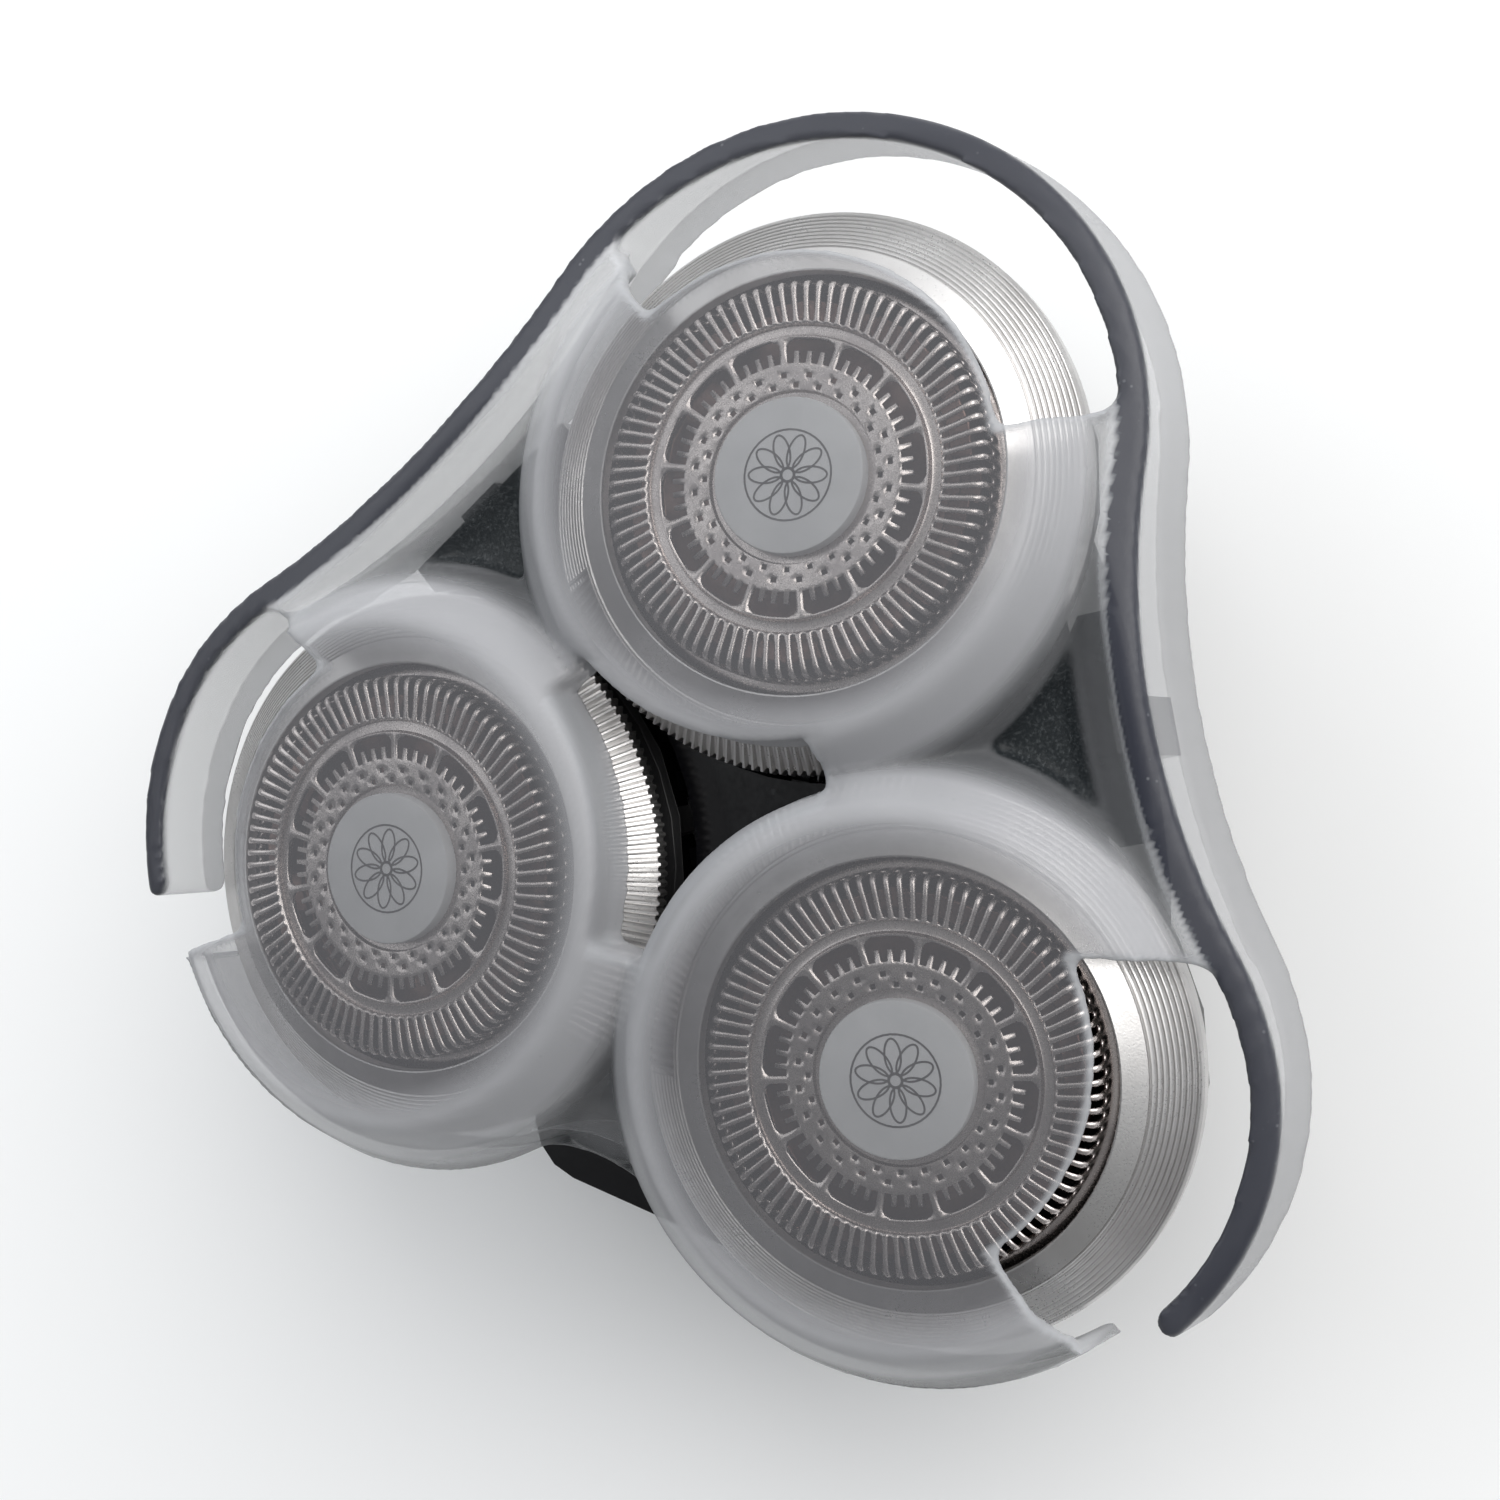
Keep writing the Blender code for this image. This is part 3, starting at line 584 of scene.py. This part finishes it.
def holeTrack(bm, spec):
    # two small holes to a sector, one further out than the other
    angles, track = spec["holeAngles"], spec["holeTrack"]
    places = gridPlaces(bm, len(angles) - 1, len(track) - 1)
    gone = []
    for face in bm.faces:
        cell = tuple(min(places[vert][axis] for vert in face.verts) for axis in (0, 1))
        if cell in spec["holeCells"]:
            gone.append(face)
    for vert, (column, row) in places.items():
        radius, height = track[row]
        spot = polar(radius, angles[column])
        vert.co = (spot.x * mm, spot.y * mm, height * mm)
    bmesh.ops.delete(bm, geom=gone, context="FACES")
    turnCopies(bm, everything(bm), spec["holeSectors"])


def rimEdges(bm, radius):
    # open edges at one radius
    return [edge for edge in bm.edges if edge.is_boundary
            and all(abs(vert.co.xy.length - radius * mm) < 0.02 * mm for vert in edge.verts)]


def buildGuardMesh():
    spec = guardSpec
    whole = bmesh.new()
    for make in (slotTrack, combTrack, holeTrack):
        zone = bmesh.new()
        make(zone, spec)
        pour(zone, whole)
    joins = ((spec["track"][0][0], spec["combTrack"][-1][0]),
             (spec["combTrack"][0][0], spec["holeTrack"][-1][0]))
    for outer, inner in joins:
        bmesh.ops.bridge_loops(whole, edges=rimEdges(whole, outer) + rimEdges(whole, inner))
    # dished middle under the badge
    rim = rimEdges(whole, spec["holeTrack"][0][0])
    bmesh.ops.edgeloop_fill(whole, edges=rim)
    bmesh.ops.recalc_face_normals(whole, faces=whole.faces)
    up = sum(face.normal.z * face.calc_area() for face in whole.faces)
    if up < 0:
        bmesh.ops.reverse_faces(whole, faces=whole.faces)
    mesh = bpy.data.meshes.new("guardShape")
    whole.to_mesh(mesh)
    whole.free()
    return mesh


guardMesh = buildGuardMesh()
for side, degrees in sides.items():
    bm = bmesh.new()
    bm.from_mesh(guardMesh)
    guard = looseObject(bm, "slotted_guard_" + side, headPlace(degrees))
    wall = guard.modifiers.new("sheetThickness", "SOLIDIFY")
    wall.thickness = guardSpec["thick"] * mm
    wall.offset = -1.0
    settle(guard, "shaving_guard_" + side, ["guard_" + side],
           [finish["guardSteel"]], 38.0)
print("guards built:", len(guardMesh.polygons), "faces each before their thickness")


# ridged silver rings with their ribbed aprons

ringSpec = {
    "inner": [(12.0, -2.1), (12.0, -1.28), (12.05, -1.20), (12.14, -1.19), (13.48, -1.78)],
    "ridgesFrom": (13.55, -1.84),
    "ridgesTo": (16.02, -3.82),
    "ridges": 9,
    "ridgeDepth": 0.10,
    "outer": [(16.1, -3.95), (16.1, -4.94), (16.04, -5.0), (15.26, -5.0), (15.2, -4.94),
              (15.2, -4.3), (13.0, -2.4)],
    "steps": 180,
    "apron": {"half": 52.0, "track": ((16.2, -4.6), (16.2, -3.85), (13.85, -2.0)), "thick": 0.45,
              "ribs": 52, "ribDepth": 0.28},
    # the flange is drawn in behind the apron
    "squeeze": {"from": 13.8, "share": 0.35, "half": 50.0, "blend": 3.0},
}


def ridgeProfile(spec):
    start, stop = Vector(spec["ridgesFrom"]), Vector(spec["ridgesTo"])
    step = (stop - start) / spec["ridges"]
    inwards = Vector((step.y, -step.x)).normalized() * spec["ridgeDepth"]
    points = []
    for i in range(spec["ridges"]):
        base = start + step * i
        points += [base + inwards * 0.9, base + step * 0.16 + inwards, base + step * 0.34,
                   base + step * 0.60 - inwards * 0.22, base + step * 0.88]
    return [tuple(point) for point in points]


def drawFlangeIn(bm, squeeze):
    for vert in bm.verts:
        radius = vert.co.xy.length / mm
        off = 180.0 - abs(math.degrees(math.atan2(vert.co.y, vert.co.x)))
        amount = min(max((squeeze["half"] - off) / squeeze["blend"], 0.0), 1.0)
        if radius > squeeze["from"] and amount:
            drawn = squeeze["from"] + (radius - squeeze["from"]) * squeeze["share"]
            scale = (radius + (drawn - radius) * amount) / radius
            vert.co.x *= scale
            vert.co.y *= scale


def apronStrip(apron):
    # four columns to a rib, two of them sunk, on the side towards the drive axis
    strip = bmesh.new()
    columns, rows = apron["ribs"] * 4, len(apron["track"]) - 1
    for vert, (column, row) in gridPlaces(strip, columns, rows).items():
        radius, height = apron["track"][row]
        sunk = apron["ribDepth"] if column % 4 in (2, 3) and row < rows else 0.0
        degrees = 180.0 - apron["half"] + 2.0 * apron["half"] * column / columns
        spot = polar(radius - sunk, degrees)
        vert.co = (spot.x * mm, spot.y * mm, (height - sunk * 0.5) * mm)
    grown = bmesh.ops.extrude_face_region(strip, geom=strip.faces[:])["geom"]
    for vert in [part for part in grown if isinstance(part, bmesh.types.BMVert)]:
        flat = vert.co.xy * (1.0 - apron["thick"] * mm / vert.co.xy.length)
        vert.co = (flat.x, flat.y, vert.co.z - apron["thick"] * mm)
    bmesh.ops.recalc_face_normals(strip, faces=strip.faces)
    return strip


def buildRing(side, degrees):
    spec = ringSpec
    bm = bmesh.new()
    profile = spec["inner"] + ridgeProfile(spec) + spec["outer"]
    turnProfile(bm, profile, spec["steps"], closed=True)
    drawFlangeIn(bm, spec["squeeze"])
    pour(apronStrip(spec["apron"]), bm)
    ring = looseObject(bm, "ridged_ring_" + side, headPlace(degrees))
    settle(ring, "head_" + side, ["silver_ring_" + side],
           [finish["satinSilver"]], 30.0)


for side, degrees in sides.items():
    buildRing(side, degrees)
print("silver rings built")


# badges with a plain rosette

badgeSpec = {"radius": 4.42, "foot": -0.29, "top": 0.56, "steps": 96,
             "petals": 10, "petalLong": 1.02, "petalWide": 0.52, "petalAt": 1.36,
             "ring": 2.62, "hub": 0.42, "line": 0.12, "proud": 0.012}


def flatLoop(bm, long, wide, centre, line, height):
    # a thin closed line lying flat
    made = bmesh.ops.create_circle(bm, segments=40, radius=1.0, cap_ends=True)["verts"]
    face = made[0].link_faces[0]
    for vert in made:
        vert.co = ((centre + vert.co.x * long) * mm, vert.co.y * wide * mm, height * mm)
    bmesh.ops.inset_individual(bm, faces=[face], thickness=line * mm)
    bmesh.ops.delete(bm, geom=[face], context="FACES")


def buildBadge(side, degrees):
    spec = badgeSpec
    r, top = spec["radius"], spec["top"]
    bm = bmesh.new()
    turnProfile(bm, [(0.0, spec["foot"]), (r, spec["foot"]), (r, top - 0.14),
                     (r - 0.05, top - 0.04), (r - 0.16, top), (0.0, top)], spec["steps"])
    mark = bmesh.new()
    height = top + spec["proud"]
    flatLoop(mark, spec["petalLong"], spec["petalWide"], spec["petalAt"], spec["line"], height)
    turnCopies(mark, everything(mark), spec["petals"])
    flatLoop(mark, spec["ring"], spec["ring"], 0.0, spec["line"], height)
    flatLoop(mark, spec["hub"], spec["hub"], 0.0, spec["line"], height)
    bmesh.ops.recalc_face_normals(mark, faces=mark.faces)
    for face in mark.faces:
        if face.normal.z < 0:
            face.normal_flip()
        face.material_index = 1
    pour(mark, bm)
    badge = looseObject(bm, "badge_" + side, headPlace(degrees))
    settle(badge, "shaving_guard_" + side, ["guard_badge_" + side],
           [finish["badgeGrey"], finish["badgeInk"]], 40.0)


for side, degrees in sides.items():
    buildBadge(side, degrees)
print("badges built")


# protective cap

capSpec = {
    "lobeCentre": 21.3, "lobe": 19.2, "valley": 27.3, "wall": 1.8,
    "band": -0.2, "fall": 0.30,  # the wall's top edge between lobes, and its drop outwards
    "floor": -3.0, "skirt": -10.6, "armEnd": -25.0,
    "domeFoot": 17.6, "domePlanCentre": 19.3, "domeWall": 0.75, "notch": 21.5,
    "bandWide": 1.75, "bankWide": 3.8,  # flat top edge, and the bank from it down to the floor
    # middle opening: its sides' radius from each head and its corners' reach, at lip and foot
    "lip": (15.3, 9.2), "lipBack": (14.7, 9.8), "lipHeight": 1.3,
    "foot": (15.7, 8.8), "footBack": (15.1, 9.4), "footHeight": -0.5,
    "openingShift": (-0.5, 0.5),
    "armPull": 1.2,  # how far the arms' free ends are drawn in
    "web": {"half": 1.7, "near": -8.0, "far": -21.2, "nearTop": 1.1, "farTop": -2.2},
    "windowCentre": 19.63, "windowCorner": 1.0, "windowPast": 0.2,
    "topWindow": {"radius": 12.4, "inner": (28.0, 152.0), "outer": (156.0, 24.0)},
    "sideWindow": {"radius": 12.9, "shift": 2.5, "inner": (-38.0, 43.0), "outer": (46.0, -25.0),
                   "beyond": 24.0},
    "turnSteps": 112,
    "voxel": 0.30,
    "smoothing": 4,
}


def drawnArc(centre, radius, start, stop, steps):
    # an arc whose end by the arm's tip is drawn in towards the head
    points = []
    for i in range(steps + 1):
        degrees = start + (stop - start) * i / steps
        nearTip = max(0.0, (25.0 - degrees) / 50.0) ** 1.5
        points.append(Vector(centre) + polar(radius - capSpec["armPull"] * nearTip, degrees))
    return points


def capOutline(inset):
    spec = capSpec
    lobeR = spec["lobe"] - inset
    valleyR = spec["valley"] - inset
    step = lobeR - valleyR
    far = (spec["lobeCentre"] ** 2 - step ** 2) / (spec["lobeCentre"] + 2.0 * step)
    scoopR = far - valleyR
    scoop = polar(far, 30.0)
    topLobe, rightLobe = polar(spec["lobeCentre"], 90.0), polar(spec["lobeCentre"], 330.0)
    domeInset = inset * spec["domeWall"] / spec["wall"]
    domeR = spec["domeFoot"] - domeInset
    dome = polar(spec["domePlanCentre"], 330.0)
    drop = spec["notch"] - domeInset + dome.y
    notchR = (dome.x ** 2 + drop ** 2 - domeR ** 2) / (2.0 * (domeR - drop))
    notch = Vector((0.0, dome.y - drop - notchR))
    half = arc(notch, notchR, 90.0, heading(dome, notch), 10)[:-1]
    half += arc(dome, domeR, heading(notch, dome), -40.0, 34)
    half += drawnArc(rightLobe, lobeR, spec["armEnd"], heading(scoop, rightLobe), 30)
    start, stop = (heading(lobe, scoop) % 360.0 for lobe in (rightLobe, topLobe))
    half += arc(scoop, scoopR, start, stop, 20)[1:-1]
    half += arc(topLobe, lobeR, heading(scoop, topLobe), 90.0, 34)
    return half + mirrored(half[1:-1])


def topWindow():
    spec = capSpec["topWindow"]
    head, lobe = polar(capSpec["windowCentre"], 90.0), polar(capSpec["lobeCentre"], 90.0)
    reach = capSpec["lobe"] - capSpec["wall"] + capSpec["windowPast"]
    return arc(head, spec["radius"], *spec["inner"], 40) + arc(lobe, reach, *spec["outer"], 48)


def rightWindow():
    # runs out past the wall, which leaves the arm's end free
    spec = capSpec["sideWindow"]
    head, lobe = polar(capSpec["windowCentre"], 330.0), polar(capSpec["lobeCentre"], 330.0)
    edge = head + polar(spec["shift"], 150.0)
    reach = capSpec["lobe"] - capSpec["wall"] + capSpec["windowPast"]
    return (arc(edge, spec["radius"], *spec["inner"], 30)
            + drawnArc(lobe, reach, *spec["outer"], 30)
            + [lobe + polar(spec["beyond"], spec["outer"][1]),
               head + polar(spec["beyond"], spec["inner"][0])])


def windowOutlines():
    right = rightWindow()
    return {"top": topWindow(), "right": right, "left": mirrored(right)}


def triangleOutline(size):
    radius, reach = size
    outline = []
    for degrees in sorted(sides.values()):
        head = polar(unit["headCircle"], degrees)
        inward = degrees + 180.0
        swing = (heading(polar(reach, degrees - 60.0), head) - degrees) % 360.0 - 180.0
        outline += arc(head, radius, inward + swing, inward - swing, 22)
    return outline


def domeProfile(shrink, low):
    # top, rounded shoulder, steep side, and a foot that runs out into the floor
    top = 2.0 - shrink * 1.2
    foot = capSpec["domeFoot"] - shrink
    edge = 14.8 - shrink * 0.8
    sink = shrink * 0.3
    points = [(0.0, top), (edge - 0.5, top), (edge - 0.05, top - 0.05), (edge + 0.35, top - 0.22),
              (edge + 0.7, top - 0.55), (foot - 0.75, -0.55 - sink), (foot - 0.35, -1.25 - sink),
              (foot, -1.85 - sink)]
    if shrink:
        return points + [(foot, low), (0.0, low)]
    return points + [(foot + 0.22, -2.5), (foot + 0.6, -3.1), (foot, low), (0.0, low)]


def bandHeight(radius):
    # the wall's top edge, by distance from the drive axis in mm
    return capSpec["band"] - capSpec["fall"] * (radius - capSpec["valley"])


def taperedBlock(lowOutline, highOutline, low, high, name):
    bm = bmesh.new()
    prism(bm, lowOutline, low, high)
    ahead = {(round(p[0], 3), round(p[1], 3)): q for p, q in zip(lowOutline, highOutline)}
    for vert in bm.verts:
        if vert.co.z > (low + high) / 2 * mm:
            x, y = ahead[(round(vert.co.x / mm, 3), round(vert.co.y / mm, 3))]
            vert.co.x, vert.co.y = x * mm, y * mm
    return looseObject(bm, name)


def capBlock(outline, low, high, name, corner=0.0):
    bm = bmesh.new()
    prism(bm, outline, low, high, corner)
    return looseObject(bm, name)


def funnel(footSize, lipSize, name):
    # upright block up to the opening's foot, a sloping one to its lip, and an upright one above
    foot, lip = capSpec["footHeight"], capSpec["lipHeight"]
    shift = Vector(capSpec["openingShift"])
    low, high = ([tuple(Vector(point) + shift) for point in triangleOutline(size)]
                 for size in (footSize, lipSize))
    return [capBlock(low, capSpec["skirt"] - 3.0, foot + 0.02, name + "Foot"),
            taperedBlock(low, high, foot, lip, name + "Slope"),
            capBlock(high, lip - 0.02, 8.0, name + "Top")]


def capTurned(points, name, degrees):
    bm = bmesh.new()
    turnProfile(bm, points, capSpec["turnSteps"])
    return looseObject(bm, name, headPlace(degrees))


def carve(target, tool, operation):
    change = target.modifiers.new(operation.lower(), "BOOLEAN")
    change.operation = operation
    change.solver = "MANIFOLD"
    change.object = tool
    tool.hide_render = True


def settledMesh(piece):
    bpy.context.view_layer.update()
    graph = bpy.context.evaluated_depsgraph_get()
    return bpy.data.meshes.new_from_object(piece.evaluated_get(graph))


def buildCap():
    spec = capSpec
    tools = []

    def tool(piece):
        tools.append(piece)
        return piece

    # hollow, less the collar that stays round the middle opening
    floor = spec["floor"]
    hollow = tool(capBlock(capOutline(spec["wall"]), spec["skirt"] - 2.0, floor - 0.9, "hollow"))
    for side, degrees in sides.items():
        inside = capTurned(domeProfile(spec["domeWall"], -9.0), "inside_" + side, degrees)
        carve(hollow, tool(inside), "UNION")
    for number, collar in enumerate(funnel(spec["footBack"], spec["lipBack"], "collar")):
        tools.append(collar)
        if number:
            carve(hollow, collar, "DIFFERENCE")

    # side wall standing above the floor, with a bank inside it, only along the arms
    rim = tool(capBlock(capOutline(0.0), floor - 0.6, 3.0, "rim"))
    foot = capOutline(spec["bandWide"] + spec["bankWide"])
    head = capOutline(spec["bandWide"])
    span = spec["band"] - floor
    top = [p + (q - p) * (8.0 / span) for p, q in zip(foot, head)]
    carve(rim, tool(taperedBlock(foot, top, floor, floor + 8.0, "bank")), "DIFFERENCE")
    armEnd = spec["lobeCentre"] * math.sin(math.radians(-30.0))
    armEnd += spec["lobe"] * math.sin(math.radians(spec["armEnd"])) - 0.2
    below = [(-60.0, -60.0), (60.0, -60.0), (60.0, armEnd), (-60.0, armEnd)]
    carve(rim, tool(capBlock(below, -15.0, 9.0, "belowArms")), "DIFFERENCE")

    shell = tool(capBlock(capOutline(0.0), spec["skirt"], floor, "shell"))
    carve(shell, rim, "UNION")
    bm = bmesh.new()
    turnProfile(bm, [(0.0, bandHeight(0.0)), (60.0, bandHeight(60.0)), (60.0, -20.0),
                     (0.0, -20.0)], 96)
    carve(shell, tool(looseObject(bm, "slope")), "INTERSECT")
    for side, degrees in sides.items():
        carve(shell, tool(capTurned(domeProfile(0.0, -7.0), "dome_" + side, degrees)), "UNION")
    web = spec["web"]
    bm = bmesh.new()
    prism(bm, [(-web["half"], web["far"]), (web["half"], web["far"]), (web["half"], web["near"]),
               (-web["half"], web["near"])], floor, web["nearTop"])
    for vert in bm.verts:
        if vert.co.z > 0.0 and vert.co.y < (web["far"] + 1.0) * mm:
            vert.co.z = web["farTop"] * mm
    carve(shell, tool(looseObject(bm, "web")), "UNION")
    carve(shell, hollow, "DIFFERENCE")
    for name, outline in windowOutlines().items():
        carve(shell, tool(capBlock(outline, spec["skirt"] - 3.0, 6.0, "window_" + name,
                                   spec["windowCorner"])), "DIFFERENCE")
    for middle in funnel(spec["foot"], spec["lip"], "middle"):
        carve(shell, tool(middle), "DIFFERENCE")
    grid = shell.modifiers.new("remesh", "REMESH")
    grid.mode = "VOXEL"
    grid.voxel_size = spec["voxel"] * mm
    mesh = settledMesh(shell)
    print("cap carved:", len(mesh.polygons), "faces")
    for piece in tools:
        bpy.data.objects.remove(piece)
    bm = bmesh.new()
    bm.from_mesh(mesh)
    bpy.data.meshes.remove(mesh)
    for _ in range(spec["smoothing"]):
        bmesh.ops.smooth_vert(bm, verts=bm.verts, factor=0.5,
                              use_axis_x=True, use_axis_y=True, use_axis_z=True)
    cap = looseObject(bm, "smoke_cap", Matrix.Identity(4))
    markBand(cap.data)
    return cap


smokeZones = ("slope", "deck", "bank", "skirt", "band", "lip")


def ramp(value, low, high):
    return min(max((value - low) / (high - low), 0.0), 1.0)


def lineFinder(outlines):
    # distance in plan from closed outlines, in mm
    points = []
    for outline in outlines:
        for i, point in enumerate(outline):
            ahead = outline[(i + 1) % len(outline)]
            steps = 1 + int((ahead - point).length / 0.12)
            points += [point.lerp(ahead, part / steps) for part in range(steps)]
    tree = KDTree(len(points))
    for i, point in enumerate(points):
        tree.insert((point.x, point.y, 0.0), i)
    tree.balance()
    return lambda spot: tree.find((spot.x, spot.y, 0.0))[2]


def markBand(mesh):
    # shares of each point: top edge of the wall, clear skirt, dark floor, milky slope, and a pale
    # lip share that paints highlight lines along the opening's lip, the window edges and the wall's
    # inner edge
    spec = capSpec
    fromEdge = lineFinder([capOutline(0.0)])
    fromWindow = lineFinder(windowOutlines().values())
    fromMiddle = lineFinder([triangleOutline(spec["lip"])])
    heads = {side: headPlace(degrees).inverted() for side, degrees in sides.items()}
    share = {name: [] for name in smokeZones}
    place = unitPlace.inverted()
    for vert in mesh.vertices:
        spot = (place @ vert.co) / mm
        flat = spot.xy
        inset = fromEdge(flat)
        below = bandHeight(flat.length) - spot.z
        onArm = ramp(spot.y, -19.5, -18.9)
        nearest = min((matrix @ vert.co).xy.length / mm for matrix in heads.values())
        band = onArm * ramp(0.6 - abs(below), 0.0, 0.2)
        band *= ramp(spec["bandWide"] + 0.15 - inset, 0.0, 0.3)
        foot = spot.z - spec["skirt"]
        band = max(band, 0.45 * ramp(0.45 - foot, 0.0, 0.25))
        under = min(below, spec["floor"] - spot.z + 2.6 * onArm)
        skirt = ramp(inset, 3.2, 2.2) * ramp(under, 0.4, 1.0)
        deck = ramp(nearest, 16.2, 17.4) * ramp(spec["floor"] + 1.6 - spot.z, 0.0, 0.8)
        bank = ramp(nearest, 16.6, 17.6) * ramp(spot.z, spec["floor"] + 0.6, spec["floor"] + 1.4)
        # the lip share is a painted highlight: pale lines along the middle opening's lip, the
        # window edges and the wall's inner edge, where edges catch the light
        lip = ramp(0.4 - fromMiddle(flat), 0.0, 0.2) * ramp(spot.z, 0.3, 1.0)
        lip = max(lip, ramp(0.45 - fromWindow(flat), 0.0, 0.25) * ramp(nearest, 18.4, 17.8))
        edge = abs(inset - spec["bandWide"] - 0.1)
        lip = max(lip, 0.7 * ramp(0.3 - edge, 0.0, 0.15) * ramp(0.7 - abs(below), 0.0, 0.3) * onArm)
        for name, value in (("band", band), ("skirt", skirt), ("deck", deck), ("bank", bank),
                            ("slope", ramp(nearest, 12.6, 14.6)), ("lip", lip)):
            share[name].append(value)
    for name, values in share.items():
        mesh.attributes.new(name + "Share", "FLOAT", "POINT").data.foreach_set("value", values)


smoke = {
    "dome": {"colour": (0.20, 0.20, 0.215), "alpha": 0.21},
    "slope": {"colour": (0.42, 0.425, 0.445), "alpha": 0.50},
    "deck": {"colour": (0.020, 0.025, 0.028), "sparkle": (0.09, 0.10, 0.105), "alpha": 0.45},
    "bank": {"colour": (0.20, 0.205, 0.215), "alpha": 0.30},
    "skirt": {"colour": (0.34, 0.345, 0.36), "alpha": 0.13},
    "band": {"colour": (0.017, 0.019, 0.030), "alpha": 0.95},
    # painted highlight: pale lines along the opening's lip and the window and wall edges
    "lip": {"colour": (0.40, 0.41, 0.43), "alpha": 0.62},
    "edgeOn": 0.40,  # extra body where the wall is seen edge on
    "speck": (0.32, 0.33, 0.35),
    "ior": 1.40,
    "bump": 0.25,
}


def makeSmoke():
    material = bpy.data.materials.new("smokePlastic")
    material.use_nodes = True
    tree = material.node_tree
    skin = tree.nodes["Principled BSDF"]
    grain = placeGroup(tree, grainGroup, grainScale=5200.0, stainScale=60.0,
                       roughLow=0.30, roughHigh=0.46)
    dust = placeGroup(tree, speckGroup, speckScale=1300.0, amount=0.35)
    fleck = spreadNode(tree, grain.outputs["height"], 0.52, 0.72, 0.0, 1.0)
    colour, body = smoke["dome"]["colour"], smoke["dome"]["alpha"]
    for name in smokeZones:
        node = tree.nodes.new("ShaderNodeAttribute")
        node.attribute_name = name + "Share"
        ahead = smoke[name]["colour"]
        if name == "deck":
            ahead = mixColour(tree, fleck, ahead, smoke[name]["sparkle"])
        colour = mixColour(tree, node.outputs["Fac"], colour, ahead)
        body = spreadNode(tree, node.outputs["Fac"], 0.0, 1.0, body, smoke[name]["alpha"])
    colour = mixColour(tree, dust.outputs["mask"], colour, smoke["speck"])
    tree.links.new(colour, skin.inputs["Base Color"])
    tree.links.new(grain.outputs["roughness"], skin.inputs["Roughness"])
    facing = tree.nodes.new("ShaderNodeLayerWeight")
    facing.inputs["Blend"].default_value = 0.35
    room = mathNode(tree, "SUBTRACT", 1.0, body)
    extra = mathNode(tree, "MULTIPLY", mathNode(tree, "MULTIPLY", facing.outputs["Facing"], room),
                     smoke["edgeOn"])
    tree.links.new(mathNode(tree, "ADD", body, extra), skin.inputs["Alpha"])
    skin.inputs["IOR"].default_value = smoke["ior"]
    bump = tree.nodes.new("ShaderNodeBump")
    bump.inputs["Strength"].default_value = smoke["bump"]
    bump.inputs["Distance"].default_value = bumpDepth
    tree.links.new(grain.outputs["height"], bump.inputs["Height"])
    tree.links.new(bump.outputs["Normal"], skin.inputs["Normal"])
    return material


cap = buildCap()
settle(cap, "cap", ["protective_cap"], [makeSmoke()], 60.0)
print("cap built:", len(cap.data.polygons), "faces")
